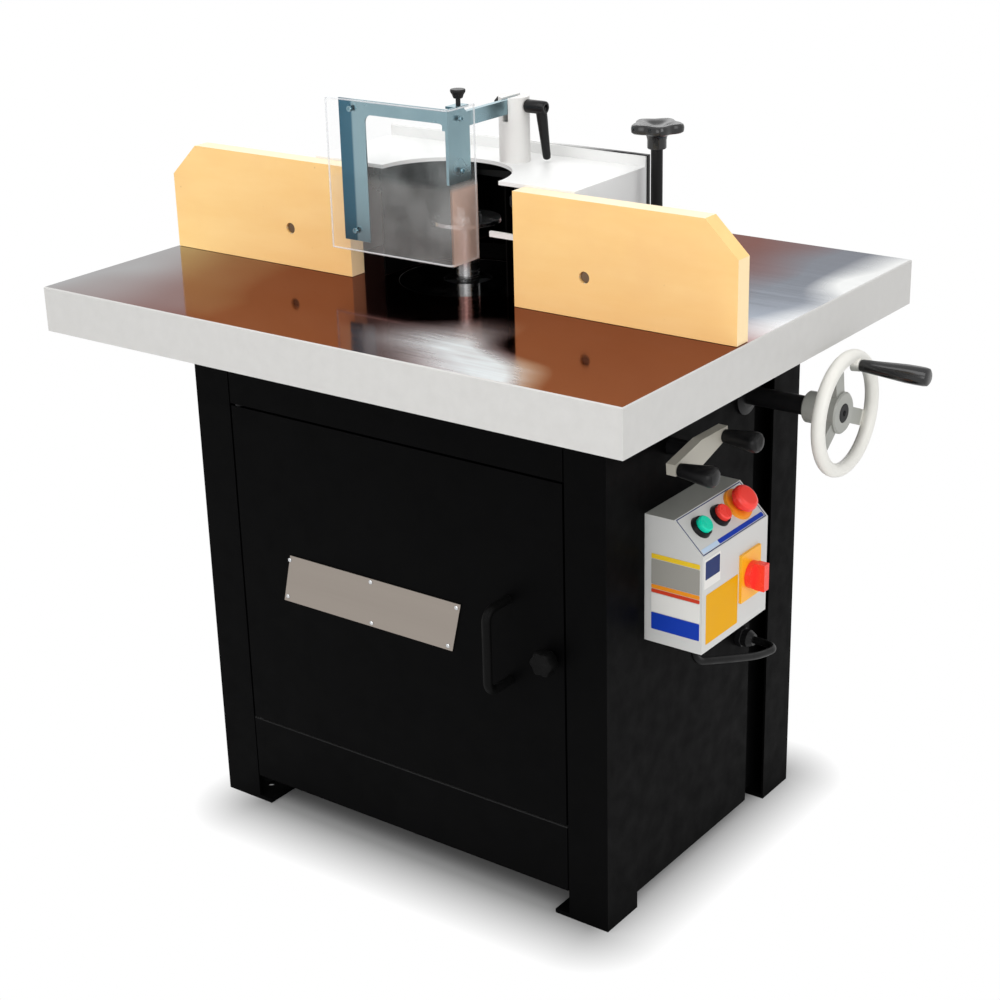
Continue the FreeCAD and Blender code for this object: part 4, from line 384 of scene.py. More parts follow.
# Finishes
CABINET_LOOK = dict(colour=(0.0012, 0.0012, 0.0013), rough=0.52, grain=900.0, relief=0.3, depth=0.00025,
                    specular=0.028, shade=0.2)
STEEL_LOOK = dict(colour=(0.006, 0.006, 0.0065), rough=0.4, grain=600.0, relief=0.2, specular=0.15,
                  shade=0.2)
BOX_LOOK = dict(colour=(0.62, 0.62, 0.605), rough=0.46, grain=900.0, relief=0.25)
SIGNAL_LOOK = dict(grain=800.0, relief=0.08, shade=0.06)
LOOKS = {
    "cabinet_black": CABINET_LOOK,
    "frame_black": CABINET_LOOK,
    "black_plastic": dict(colour=(0.006, 0.006, 0.0065), rough=0.34, grain=1500.0, relief=0.2, shade=0.15,
                          specular=0.22),
    "dull_black": dict(colour=(0.003, 0.003, 0.003), rough=0.5, grain=900.0, relief=0.2, shade=0.15,
                       specular=0.06),
    "gloss_black": dict(colour=(0.006, 0.006, 0.0065), rough=0.2, grain=700.0, relief=0.06, shade=0.15,
                        specular=0.55, swing=0.06),
    "black_steel": STEEL_LOOK,
    "duct_black": STEEL_LOOK,
    "bright_steel": dict(colour=(0.60, 0.61, 0.62), rough=0.24, grain=300.0, relief=0.08, metal=1.0,
                         stretch=(1.0, 1.0, 12.0)),
    "stainless_plate": dict(colour=(0.33, 0.29, 0.255), rough=0.38, grain=500.0, relief=0.25, metal=1.0,
                            stretch=(0.08, 1.0, 4.0)),
    "ring_steel": dict(colour=(0.16, 0.15, 0.145), rough=0.14, grain=260.0, relief=0.05, metal=1.0),
    # Brass bolts, darkened as painted shade of the holes they sit in
    "bolt_brown": dict(colour=(0.24, 0.17, 0.11), rough=0.34, grain=300.0, relief=0.1, metal=1.0),
    "casting_grey": dict(colour=(0.17, 0.18, 0.19), rough=0.62, grain=260.0, relief=0.5, depth=0.0006),
    "motor_alloy": dict(colour=(0.24, 0.27, 0.31), rough=0.48, grain=500.0, relief=0.3),
    "belt_rubber": dict(colour=(0.018, 0.018, 0.018), rough=0.75, grain=1200.0, relief=0.4, specular=0.3),
    "cable_jacket": dict(colour=(0.004, 0.004, 0.004), rough=0.42, grain=1000.0, relief=0.15,
                         specular=0.12),
    "lever_enamel": dict(colour=(0.42, 0.40, 0.345), rough=0.42, grain=240.0, relief=0.3, depth=0.0004),
    "box_grey": BOX_LOOK,
    "box_shaded_top": BOX_LOOK,
    "button_green": dict(SIGNAL_LOOK, colour=(0.0, 0.68, 0.44), rough=0.3, specular=0.3),
    "button_red": dict(SIGNAL_LOOK, colour=(1.0, 0.045, 0.03), rough=0.3),
    "signal_yellow": dict(SIGNAL_LOOK, colour=(1.0, 0.46, 0.01), rough=0.34),
    "collar_orange": dict(SIGNAL_LOOK, colour=(1.0, 0.34, 0.02), rough=0.36, specular=0.3),
    "hood_white": dict(colour=(0.82, 0.82, 0.81), rough=0.45, grain=900.0, relief=0.2, shade=0.03),
    "post_grey": dict(colour=(0.72, 0.71, 0.69), rough=0.4, grain=700.0, relief=0.2, shade=0.04),
    "shield_edge": dict(colour=(0.86, 0.88, 0.90), rough=0.2, grain=300.0, relief=0.05, shade=0.04),
}
SHIELD_EDGE_ALPHA = 0.45

FINISH = {name: surface(name, **look) for name, look in LOOKS.items()}
FINISH["table_iron"] = table_material()
FINISH["zinc_plate"] = zinc_material("zinc_plate", NO_STRIP_SHARE)
FINISH["bracket_zinc"] = zinc_material("bracket_zinc", BRACKET_STRIP_SHARE)
FINISH["board_wood"] = board_material()
FINISH["clear_shield"] = clear_material()
FINISH["wheel_enamel"] = wheel_material()
edge_shader = FINISH["shield_edge"].node_tree.nodes["Principled BSDF"]
edge_shader.inputs["Alpha"].default_value = SHIELD_EDGE_ALPHA


# Colours over parts of a finish: a painted highlight on the kick ledge, white painted over the top of the
# plate behind the hood, painted shade on the top of the control box and inside the hood
LEDGE_DROP = 0.003
LEDGE_FULL = 0.002
LEDGE_FADED = 0.003
KICK_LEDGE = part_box("door")[0][2] - LEDGE_DROP
LIP_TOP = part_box("fence_hood")[1][2]
LIP_FADE = 0.001
LIP_WHITE_RIGHT = (0.05, 0.16)
INSIDE_SHADE_HALF = (0.130, 0.131)
INSIDE_SHADE_REAR = (0.0775, 0.0785)
INSIDE_SHADE_LOW = (0.875, 0.880)
INSIDE_SHADE_TOP = (0.9225, 0.9235)


def overlay(name, mask, colour):
    """Blend a colour over a finish where a mask of its coordinates is set."""
    tree = FINISH[name].node_tree
    tint = tree.nodes["Principled BSDF"].inputs["Base Color"]
    plain = tint.links[0].from_socket
    tree.links.new(blend(mask(tree, *place_parts(tree)), plain, colour), tint)


def painted_ledge_highlight(tree, x, y, z):
    above = rising(z, KICK_LEDGE - LEDGE_FADED, KICK_LEDGE - LEDGE_FULL)
    under = falling(z, KICK_LEDGE + LEDGE_FULL, KICK_LEDGE + LEDGE_FADED)
    return product(facing(tree, "Z"), product(above, under))


def lip_whitened(tree, x, y, z):
    return product(rising(z, LIP_TOP - LIP_FADE, LIP_TOP), falling(x, *LIP_WHITE_RIGHT))


def painted_top_shade(tree, x, y, z):
    return facing(tree, "Z")


def painted_hood_shade(tree, x, y, z):
    middle = falling(maths("ABSOLUTE", x, 0.0), *INSIDE_SHADE_HALF)
    inner = product(middle, falling(y, *INSIDE_SHADE_REAR))
    return product(inner, product(rising(z, *INSIDE_SHADE_LOW), falling(z, *INSIDE_SHADE_TOP)))


# Painted highlight along the kick ledge
overlay("frame_black", painted_ledge_highlight, (0.05, 0.05, 0.05))
# White painted over the top edge of the black back plate at its left end, fading to the right
overlay("duct_black", lip_whitened, (0.88, 0.88, 0.87))
# Painted shade: the up-facing top of the control box darkened where the table shades it
overlay("box_shaded_top", painted_top_shade, (0.34, 0.345, 0.32))
# Painted shade: the inside of the hood behind its notch darkened
overlay("hood_white", painted_hood_shade, (0.012, 0.014, 0.014))


# Finishes of the CAD pieces: their slots' own, apart from the pieces named here
SLOT_OF = {part["node"]: part["material_slot"] for part in frame["record"]["subparts"]}
OWN_FINISH = {
    "table_rings": "ring_steel", "hinge_pins": "black_steel", "guard_bracket": "bracket_zinc",
    "door_handle": "dull_black", "left_fence_bolt": "bolt_brown", "right_fence_bolt": "bolt_brown",
    "cabinet_frame": "frame_black", "dust_duct": "duct_black", "switch_box": "box_shaded_top",
    "emergency_collar": "collar_orange",
}
for node_name, node_object in NODES.items():
    node_object.data.materials.clear()
    node_object.data.materials.append(FINISH[OWN_FINISH.get(node_name, SLOT_OF[node_name])])


# Small edge rounding on the CAD pieces that catch the light
EDGE_ANGLE = radians(38.0)
ROUNDED = {
    "table": 0.8, "left_board": 0.9, "right_board": 0.9, "switch_box": 1.0, "cabinet_frame": 0.8,
    "door": 0.8, "fence_hood": 0.7, "lock_lever": 2.5, "isolator_plate": 1.2, "isolator_knob": 1.6,
    "guard_arm": 0.8, "guard_post": 0.8, "handwheel": 1.6, "crank_handle": 1.5, "start_button": 0.6,
    "stop_button": 0.6, "emergency_button": 1.0, "emergency_collar": 0.6, "shaft_bush": 0.8,
}
for node_name, width in ROUNDED.items():
    rounding = NODES[node_name].modifiers.new("edge_rounding", "BEVEL")
    rounding.width = width * MM
    rounding.segments = 2
    rounding.limit_method = "ANGLE"
    rounding.angle_limit = EDGE_ANGLE
    rounding.harden_normals = False


# Mesh kit: a new piece gathers turned, drawn, swept and lofted forms, or faces of its own
CREASE_DEGREES = 35.0
BAR_SEGMENTS = 8
CORNER_STEPS = 4
EASE = 0.4
EASE_SHARE = 0.5
DOME_SHARES = ((1.0, 0.0), (1.0, 0.35), (0.86, 0.72), (0.55, 0.94), (0.15, 1.0))
SOCKET_HEAD_SHARES = ((1.0, 0.0), (1.0, 0.8), (0.92, 1.0), (0.52, 1.0), (0.48, 0.45), (0.1, 0.42))


def circle_steps(count):
    """Angles of equal steps round a circle."""
    return [2.0 * pi * step / count for step in range(count)]


class Shape:
    def __init__(self):
        self.points = []
        self.faces = []

    def add(self, points, faces):
        base = len(self.points)
        self.points.extend(Vector(p) for p in points)
        self.faces.extend(tuple(base + index for index in face) for face in faces)
        return self

    def lofted(self, rings):
        """A closed form through rings of equally many points."""
        count = len(rings[0])
        faces = []
        for ring in range(len(rings) - 1):
            for step in range(count):
                after = (step + 1) % count
                faces.append((ring * count + step, ring * count + after,
                              (ring + 1) * count + after, (ring + 1) * count + step))
        faces.append(tuple(reversed(range(count))))
        faces.append(tuple((len(rings) - 1) * count + step for step in range(count)))
        return self.add([p for ring in rings for p in ring], faces)

    def turned(self, profile, place, axis, segments, lobes=0, swell=0.0, phase=0.0):
        """A profile of (radius, height) turned about an axis; lobes swell its radius."""
        turn = Vector(Z_AXIS).rotation_difference(Vector(axis)).to_matrix()
        rings = []
        for radius, height in profile:
            ring = []
            for angle in circle_steps(segments):
                wide = radius * (1.0 + swell * cos(lobes * (angle - phase)))
                local = Vector((wide * cos(angle), wide * sin(angle), height))
                ring.append(Vector(place) + turn @ local)
            rings.append(ring)
        return self.lofted(rings)

    def drawn(self, outline, rise, place, across, along):
        """An outline in the plane of two axes, raised along their normal and eased at its top edge."""
        first = Vector(across)
        second = Vector(along)
        normal = first.cross(second)
        middle = Vector([sum(values) / len(outline) for values in zip(*outline)])
        ease = min(rise * EASE_SHARE, EASE)
        rings = []
        for level, inset in ((0.0, 0.0), (rise - ease, 0.0), (rise, ease)):
            ring = []
            for p in outline:
                shift = Vector((middle[0] - p[0], middle[1] - p[1])).normalized() * inset
                ring.append(Vector(place) + first * (p[0] + shift[0]) + second * (p[1] + shift[1])
                            + normal * level)
            rings.append(ring)
        return self.lofted(rings)

    def swept(self, path, radius):
        """A round bar along a path of points."""
        rows = []
        for index, place in enumerate(path):
            before = Vector(path[max(index - 1, 0)])
            after = Vector(path[min(index + 1, len(path) - 1)])
            ahead = (after - before).normalized()
            side = ahead.orthogonal() if not rows else (rows[-1][1] - ahead * rows[-1][1].dot(ahead))
            side.normalize()
            rows.append((Vector(place), side, ahead.cross(side)))
        return self.lofted([
            [place + side * radius * cos(angle) + other * radius * sin(angle)
             for angle in circle_steps(BAR_SEGMENTS)]
            for place, side, other in rows])

    def piece(self, name, body, slot, smooth=True, angle=CREASE_DEGREES):
        """Make the gathered forms one object that rides on a body."""
        mesh = bpy.data.meshes.new(name)
        mesh.from_pydata([tuple(p * MM) for p in self.points], [], self.faces)
        working = bmesh.new()
        working.from_mesh(mesh)
        bmesh.ops.recalc_face_normals(working, faces=working.faces)
        if smooth:
            for edge in working.edges:
                edge.smooth = len(edge.link_faces) == 2 and edge.calc_face_angle() < radians(angle)
            for face in working.faces:
                face.smooth = True
        working.to_mesh(mesh)
        working.free()
        mesh.materials.append(FINISH[slot])
        piece = bpy.data.objects.new(name, mesh)
        bpy.context.scene.collection.objects.link(piece)
        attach(piece, body)
        return piece


def refinished(piece, finish):
    """Give a piece a finish of its own in place of its slot's."""
    piece.data.materials.clear()
    piece.data.materials.append(FINISH[finish])
    return piece


def rounded_box(low, high, corner):
    """Outline of a rectangle with rounded corners, anticlockwise."""
    left = low[0] + corner
    right = high[0] - corner
    bottom = low[1] + corner
    top = high[1] - corner
    outline = []
    for quarter, (x, y) in enumerate(((right, top), (left, top), (left, bottom), (right, bottom))):
        for step in range(CORNER_STEPS + 1):
            angle = radians(90.0 * quarter + 90.0 * step / CORNER_STEPS)
            outline.append((x + corner * cos(angle), y + corner * sin(angle)))
    return outline


def hexagon(radius):
    angles = [radians(60.0 * k) for k in range(6)]
    return [(radius * cos(angle), radius * sin(angle)) for angle in angles]


def shared(shares, radius, height):
    """A profile from shares of its radius and height."""
    return [(radius * wide, height * up) for wide, up in shares]


def raised(profile, base):
    """A profile moved along its axis."""
    return [(radius, base + height) for radius, height in profile]


def dome(radius, height):
    """Profile of a domed head."""
    return shared(DOME_SHARES, radius, height)


def cap_screw(radius, height):
    """Profile of a round head with an eased rim and a hollow socket."""
    return shared(SOCKET_HEAD_SHARES, radius, height)


def heads(name, body, slot, profile, places, axis):
    """One piece of equal screw or rivet heads."""
    shape = Shape()
    for place in places:
        shape.turned(profile, place, axis, 20)
    shape.piece(name, body, slot)


def node_box(name):
    """Corners of a CAD piece in millimetres."""
    low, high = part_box(name)
    return low / MM, high / MM


# Star knobs of the hood clamps
CLAMP_X = 235.0
CLAMP_Y = 27.5
KNOB_LOBES = 5
KNOB_SWELL = 0.11
NECK_EASE = 1.0
NECK_EASE_SHARE = 0.94
NECK_SHARES = ((1.0, 0.55), (1.12, 0.85), (1.35, 1.0))
DISC_SINK = 1.0
DISC_FOOT_SHARE = 0.5
DISC_SHARES = ((0.92, 0.03), (0.985, 0.16), (1.0, 0.4), (1.0, 0.66), (0.97, 0.88), (0.9, 1.0), (0.74, 0.98),
               (0.5, 0.8), (0.3, 0.62), (0.06, 0.57))


def lobed_knob(name, node, body, x, diameter, neck, neck_radius, disc, turn_degrees):
    """A star knob: neck, rounded lobes and a dished top."""
    bottom = node_box(node)[0][2]
    core = diameter / 2.0 / (1.0 + KNOB_SWELL)
    neck_foot = [(neck_radius * NECK_EASE_SHARE, 0.0), (neck_radius, NECK_EASE)]
    disc_foot = [(core * DISC_FOOT_SHARE, -DISC_SINK)]
    shape = Shape()
    shape.turned(neck_foot + shared(NECK_SHARES, neck_radius, neck), (x, CLAMP_Y, bottom), Z_AXIS, 40)
    shape.turned(disc_foot + shared(DISC_SHARES, core, disc), (x, CLAMP_Y, bottom + neck), Z_AXIS, 120,
                 KNOB_LOBES, KNOB_SWELL, radians(turn_degrees))
    knob = refinished(shape.piece(name, body, "black_plastic"), "gloss_black")
    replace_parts(knob, node)


lobed_knob("right_star_knob", "right_clamp_knob", "right_clamp", CLAMP_X, diameter=68.0, neck=20.0,
           neck_radius=12.0, disc=12.0, turn_degrees=-52.0)
lobed_knob("left_star_knob", "left_clamp_knob", "left_clamp", -CLAMP_X, diameter=44.0, neck=8.0,
           neck_radius=10.0, disc=18.0, turn_degrees=10.0)


# Door latch knob: profiles of radius and depth behind its front
LATCH_X = 250.0
LATCH_Z = 371.0
LATCH_LOBES = 6
LATCH_SWELL = 0.08
LATCH_NECK = [(9.0, 25.6), (9.0, 19.0), (11.0, 17.6)]
LATCH_STEM_RADIUS = 5.0
LATCH_STEM_START = 20.0
LATCH_HEAD = [(10.0, 18.2), (15.2, 17.6), (16.3, 15.0), (16.3, 6.0), (15.2, 2.2), (12.6, 0.3), (8.0, 0.6),
              (2.0, 1.2)]

latch_low, latch_high = node_box("latch_knob")
latch_axis = (LATCH_X, 0.0, LATCH_Z)
latch_stem = [(LATCH_STEM_RADIUS, latch_high[1]), (LATCH_STEM_RADIUS, latch_low[1] + LATCH_STEM_START)]
latch = Shape()
latch.turned(raised(LATCH_NECK, latch_low[1]), latch_axis, Y_AXIS, 32)
latch.turned(latch_stem, latch_axis, Y_AXIS, 24)
latch.turned(LATCH_HEAD, (LATCH_X, latch_low[1], LATCH_Z), Y_AXIS, 96, LATCH_LOBES, LATCH_SWELL)
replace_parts(refinished(latch.piece("latch_star_knob", "latch", "black_plastic"), "dull_black"), "latch_knob")


# Crank handle of the wheel
CRANK_PROFILE = [(5.6, 0.0), (7.2, 0.6), (8.0, 3.0), (8.8, 20.0), (10.4, 42.0), (11.8, 62.0), (12.0, 74.0),
                 (11.8, 86.0), (11.0, 90.2), (8.6, 91.8), (2.0, 92.0)]

crank_low, crank_high = node_box("crank_handle")
crank_y = (crank_low[1] + crank_high[1]) / 2.0
crank_z = (crank_low[2] + crank_high[2]) / 2.0
crank = Shape().turned(CRANK_PROFILE, (crank_low[0], crank_y, crank_z), X_AXIS, 48)
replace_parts(refinished(crank.piece("crank_grip", "crank", "black_plastic"), "gloss_black"), "crank_handle")


# The two grips of the height lock, on a tilted bar
LOCK_Y = -89.5
LOCK_Z = 622.0
LOCK_REACH = 53.0
LOCK_TILT = radians(6.0)
GRIP_PROFILE = [(7.6, 0.0), (8.5, 0.8), (9.2, 6.0), (11.0, 22.0), (12.9, 38.0), (13.4, 43.0), (12.6, 47.6),
                (9.8, 50.8), (5.0, 51.9), (1.0, 52.0)]

grip_low = node_box("lock_grips")[0]
grips = Shape()
for side in (-1.0, 1.0):
    grip_y = LOCK_Y + side * LOCK_REACH * cos(LOCK_TILT)
    grip_z = LOCK_Z + side * LOCK_REACH * sin(LOCK_TILT)
    grips.turned(GRIP_PROFILE, (grip_low[0], grip_y, grip_z), X_AXIS, 44)
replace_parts(grips.piece("lock_hand_grips", "height_lock", "black_plastic"), "lock_grips")


# Thumb knob of the guard, with a finely ribbed head
THUMB_X = 41.0
THUMB_Y = -120.0
THUMB_RIBS = 24
THUMB_SWELL = 0.018
THUMB_STEM = [(3.0, 0.0), (3.0, 18.0)]
THUMB_HEAD = [(5.4, 17.6), (6.0, 18.6), (7.2, 22.0), (9.2, 25.2), (9.4, 27.4), (8.8, 28.6), (5.0, 28.9),
              (1.0, 28.4)]

thumb_place = (THUMB_X, THUMB_Y, node_box("thumb_knob")[0][2])
thumb = Shape()
thumb.turned(THUMB_STEM, thumb_place, Z_AXIS, 24)
thumb.turned(THUMB_HEAD, thumb_place, Z_AXIS, 144, THUMB_RIBS, THUMB_SWELL)
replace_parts(thumb.piece("thumb_grip", "thumb", "black_plastic"), "thumb_knob")


# Clamp lever of the guard: hub, axle, nut and a hanging arm
AXLE_Y = -4.0
AXLE_Z = 1000.0
AXLE_START = 5.0
LEVER_HUB_LENGTH = 30.0
LEVER_ARM_INSET = 8.5
LEVER_TILT = radians(10.0)
LEVER_DOWN = (0.0, sin(LEVER_TILT), -cos(LEVER_TILT))
LEVER_HUB = [(8.0, 0.0), (8.5, 1.2), (8.5, 26.0), (7.9, 28.6), (6.2, 29.6), (4.2, 29.2), (4.0, 26.5),
             (0.6, 26.3)]
LEVER_AXLE = [(4.0, 0.0), (4.0, 42.0)]
LEVER_NUT = [(7.4, 0.0), (8.0, 0.6), (8.0, 5.4), (7.2, 6.0)]
LEVER_ARM = [(7.0, 0.0), (7.1, 8.0), (6.9, 16.0), (6.2, 34.0), (5.5, 54.0), (5.3, 63.0), (4.8, 67.2),
             (3.0, 68.8), (0.8, 69.0)]

lever_low, lever_high = node_box("guard_clamp_lever")
lever = Shape()
lever.turned(LEVER_HUB, (lever_high[0] - LEVER_HUB_LENGTH, AXLE_Y, AXLE_Z), X_AXIS, 44)
lever.turned(LEVER_AXLE, (lever_low[0] + AXLE_START, AXLE_Y, AXLE_Z), X_AXIS, 24)
lever.turned(LEVER_NUT, (lever_low[0], AXLE_Y, AXLE_Z), X_AXIS, 6)
lever.turned(LEVER_ARM, (lever_high[0] - LEVER_ARM_INSET, AXLE_Y, AXLE_Z), LEVER_DOWN, 32)
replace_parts(lever.piece("guard_lever_grip", "guard_lever", "black_plastic"), "guard_clamp_lever")


# Rivets of the bare plate on the door
PLATE_PROUD = 1.5
RIVET = dome(3.0, 1.6)
RIVET_PLACES = ((-180.0, 402.0), (-38.0, 404.0), (104.0, 403.0),
                (-188.0, 346.0), (-40.0, 344.0), (88.0, 345.0))

plate_y = node_box("door")[0][1] - PLATE_PROUD
rivet_places = [(x, plate_y, z) for x, z in RIVET_PLACES]
heads("plate_rivets", "door_leaf", "bright_steel", RIVET, rivet_places, FORWARD)


# Blank colour fields on the control box
FIELD_LOOK = dict(rough=0.42, shade=0.05, swing=0.06, grain=1400.0, relief=0.08, specular=0.08)
FIELD_COLOURS = {
    "field_yellow": (0.83, 0.56, 0.03), "field_grey": (0.33, 0.32, 0.29),
    "field_orange": (0.86, 0.30, 0.02), "field_red": (0.60, 0.05, 0.02),
    "field_white": (0.78, 0.77, 0.74), "field_blue": (0.009, 0.045, 0.40),
    "field_amber": (0.80, 0.39, 0.002), "field_line": (0.02, 0.04, 0.14),
    "field_sky": (0.55, 0.68, 0.85),
}
FIELD_RISE = 0.5
FIELD_CORNER = 1.2
BAND_RISE = 0.4
LINE_RISE = 0.3
LINE_CORNER = 0.4
for field_name, field_colour in FIELD_COLOURS.items():
    FINISH[field_name] = surface(field_name, field_colour, **FIELD_LOOK)


def field(name, colour, spots, place, across, along, rise=FIELD_RISE, corner=FIELD_CORNER):
    """Raised blank fields; each spot is (low, high) in the plane's two axes."""
    shape = Shape()
    for low, high in spots:
        shape.drawn(rounded_box(low, high, corner), rise, place, across, along)
    refinished(shape.piece(name, "frame", "box_grey", smooth=False), colour)


# Side of the box: six bands between two edges, each with its lower and upper height
SIDE_LEFT = 339.5
SIDE_RIGHT = 408.5
SIDE_BANDS = (
    ("side_field_head", "field_yellow", 495.8, 502.0),
    ("side_field_notes", "field_grey", 461.4, 494.8),
    ("side_field_orange", "field_orange", 455.6, 460.8),
    ("side_field_red", "field_red", 450.0, 454.8),
    ("side_field_table", "field_white", 424.0, 449.2),
    ("side_field_foot", "field_blue", 400.0, 422.8),
)

box_low, box_high = node_box("switch_box")
side_plane = ((0.0, box_low[1], 0.0), X_AXIS, Z_AXIS)
for field_name, field_colour, low_z, high_z in SIDE_BANDS:
    field(field_name, field_colour, [((SIDE_LEFT, low_z), (SIDE_RIGHT, high_z))], *side_plane)

# Outer face of the box: each field with two opposite corners
AMBER_SPOT = ((-138.0, 392.0), (-61.0, 459.0))
WHITE_SPOT = ((-143.0, 468.0), (-105.0, 507.0))
DARK_SPOT = ((-141.0, 480.0), (-107.0, 504.0))

face_x = box_high[0]
face_plane = ((face_x, 0.0, 0.0), Y_AXIS, Z_AXIS)
raised_plane = ((face_x + FIELD_RISE, 0.0, 0.0), Y_AXIS, Z_AXIS)
field("front_field_amber", "field_amber", [AMBER_SPOT], *face_plane)
field("front_field_white", "field_white", [WHITE_SPOT], *face_plane)
field("front_field_dark", "field_line", [DARK_SPOT], *raised_plane, rise=LINE_RISE)

# Sloped face of the box: a band of two colours and a thin border, measured from its middle
SLOPE_DEPTH = 41.0
SLOPE_DROP = 40.0
SLOPE_Y = -67.5
BAND_LOW = 19.6
BAND_HIGH = 25.4
BAND_END = 74.0
BLUE_START = -35.0
PALE_END = -35.8
BORDER_WIDE = 27.4
BORDER_LONG = 77.0
BORDER_LINE = 1.2
BORDER_GAP = 0.4

slope_angle = atan2(SLOPE_DROP, SLOPE_DEPTH)
slope_middle = (face_x - SLOPE_DEPTH / 2.0, SLOPE_Y, box_high[2] - SLOPE_DROP / 2.0)
slope_plane = (slope_middle, (cos(slope_angle), 0.0, -sin(slope_angle)), Y_AXIS)
inner_wide = BORDER_WIDE - BORDER_LINE
inner_long = BORDER_LONG - BORDER_LINE
end_wide = inner_wide - BORDER_GAP
border_spots = [
    ((-BORDER_WIDE, -BORDER_LONG), (-inner_wide, BORDER_LONG)),
    ((inner_wide, -BORDER_LONG), (BORDER_WIDE, BORDER_LONG)),
    ((-end_wide, -BORDER_LONG), (end_wide, -inner_long)),
    ((-end_wide, inner_long), (end_wide, BORDER_LONG)),
]
blue_spot = ((BAND_LOW, BLUE_START), (BAND_HIGH, BAND_END))
pale_spot = ((BAND_LOW, -BAND_END), (BAND_HIGH, PALE_END))
field("slope_field_band", "field_blue", [blue_spot], *slope_plane, rise=BAND_RISE)
field("slope_field_pale", "field_sky", [pale_spot], *slope_plane, rise=BAND_RISE)
field("slope_field_border", "field_line", border_spots, *slope_plane, rise=LINE_RISE, corner=LINE_CORNER)


# Nuts of the two cable glands, under the box and on the side panel
GLAND_RADIUS = 14.0
GLAND_HEIGHT = 8.0
GLAND_GAP = 0.2
BOX_GLAND_X = 372.0
BOX_GLAND_Y = -97.5
SIDE_GLAND = (330.0, 92.0, 290.0)

box_gland = (BOX_GLAND_X, BOX_GLAND_Y, box_low[2] - GLAND_HEIGHT - GLAND_GAP)
gland_nuts = Shape()
gland_nuts.drawn(hexagon(GLAND_RADIUS), GLAND_HEIGHT, box_gland, X_AXIS, Y_AXIS)
gland_nuts.drawn(hexagon(GLAND_RADIUS), GLAND_HEIGHT, SIDE_GLAND, Y_AXIS, Z_AXIS)
gland_nuts.piece("gland_nuts", "frame", "black_plastic")


# Whitish rim of the clear shield, a painted highlight where the sheet's edges catch the light
RIM_RADIUS = 1.1
RIM_INSET_SHARE = 1.2
BEND_RADIUS = 6.0
BEND_STEPS = 6

shield_low, shield_high = node_box("guard_shield")
inset = RIM_RADIUS * RIM_INSET_SHARE
left_x = shield_low[0] + inset
right_x = shield_high[0] - inset
front_y = shield_low[1] + inset
wing_y = shield_high[1] - inset
rim_heights = (shield_low[2] + inset, shield_high[2] - inset)
rim = Shape()
for z in rim_heights:
    bend = []
    for k in range(BEND_STEPS + 1):
        angle = k * pi / (2.0 * BEND_STEPS)
        bend.append((right_x - BEND_RADIUS + BEND_RADIUS * sin(angle),
                     front_y + BEND_RADIUS - BEND_RADIUS * cos(angle), z))
    rim.swept([(left_x, front_y, z)] + bend + [(right_x, wing_y, z)], RIM_RADIUS)
for x, y in ((left_x, front_y), (right_x, wing_y)):
    rim.swept([(x, y, z) for z in rim_heights], RIM_RADIUS)
refinished(rim.piece("shield_rim", "guard", "clear_shield"), "shield_edge")


# Small clamp knobs and tabs that hold the deflector's legs
TAB_INNER = 101.0
TAB_OUTER = 124.0
TAB_LOW = 886.0
TAB_HIGH = 918.0
TAB_CORNER = 3.0
TAB_SHEET = 2.0
TAB_Y = -88.0
CLIP_X = 112.0
CLIP_Z = 903.0
CLIP_LOBES = 5
CLIP_SWELL = 0.08
CLIP_NECK = [(4.0, 0.0), (4.0, 6.0), (6.0, 6.5)]
CLIP_HEAD = [(6.0, 6.0), (9.0, 7.0), (9.8, 9.0), (9.8, 12.0), (8.6, 13.6), (3.0, 14.0)]

knobs = Shape()
tabs = Shape()
for side in (-1.0, 1.0):
    tab_left, tab_right = sorted((side * TAB_INNER, side * TAB_OUTER))
    tab_outline = rounded_box((tab_left, TAB_LOW), (tab_right, TAB_HIGH), TAB_CORNER)
    tabs.drawn(tab_outline, TAB_SHEET, (0.0, TAB_Y, 0.0), X_AXIS, Z_AXIS)
    clip_place = (side * CLIP_X, TAB_Y - TAB_SHEET, CLIP_Z)
    knobs.turned(CLIP_NECK, clip_place, FORWARD, 24)
    knobs.turned(CLIP_HEAD, clip_place, FORWARD, 80, CLIP_LOBES, CLIP_SWELL)
knobs.piece("deflector_knobs", "hood", "black_plastic")
tabs.piece("deflector_tabs", "hood", "hood_white")


# Screws of the shield: on the left part of its front face and on its wing
FRONT_SCREW = cap_screw(3.8, 2.4)
FRONT_SCREW_X = -105.0
FRONT_SCREW_Y = -153.5
FRONT_SCREW_HEIGHTS = (1006.0, 850.0)
WING_SCREW = cap_screw(3.6, 2.4)
WING_SCREW_X = 50.0
WING_SCREW_Y = -128.0
WING_SCREW_HEIGHTS = (1004.0, 940.0)

screws = Shape()
for z in FRONT_SCREW_HEIGHTS:
    screws.turned(FRONT_SCREW, (FRONT_SCREW_X, FRONT_SCREW_Y, z), FORWARD, 24)
for z in WING_SCREW_HEIGHTS:
    screws.turned(WING_SCREW, (WING_SCREW_X, WING_SCREW_Y, z), X_AXIS, 24)
refinished(screws.piece("shield_screws", "guard", "bright_steel"), "zinc_plate")


# Screws of the duct's back plate and of the rear panel
BACK_PLATE_Y = 56.5
DUCT_SCREW = dome(4.2, 2.4)
DUCT_SCREW_PLACES = (-190.0, -140.0, 140.0, 190.0)
DUCT_SCREW_HEIGHTS = (800.0, 860.0, 928.0)
REAR_PANEL_Y = 234.5
PANEL_SCREW = dome(5.0, 2.6)
PANEL_SCREW_PLACES = (-300.0, 0.0, 300.0)
PANEL_SCREW_HEIGHTS = (60.0, 370.0, 680.0)

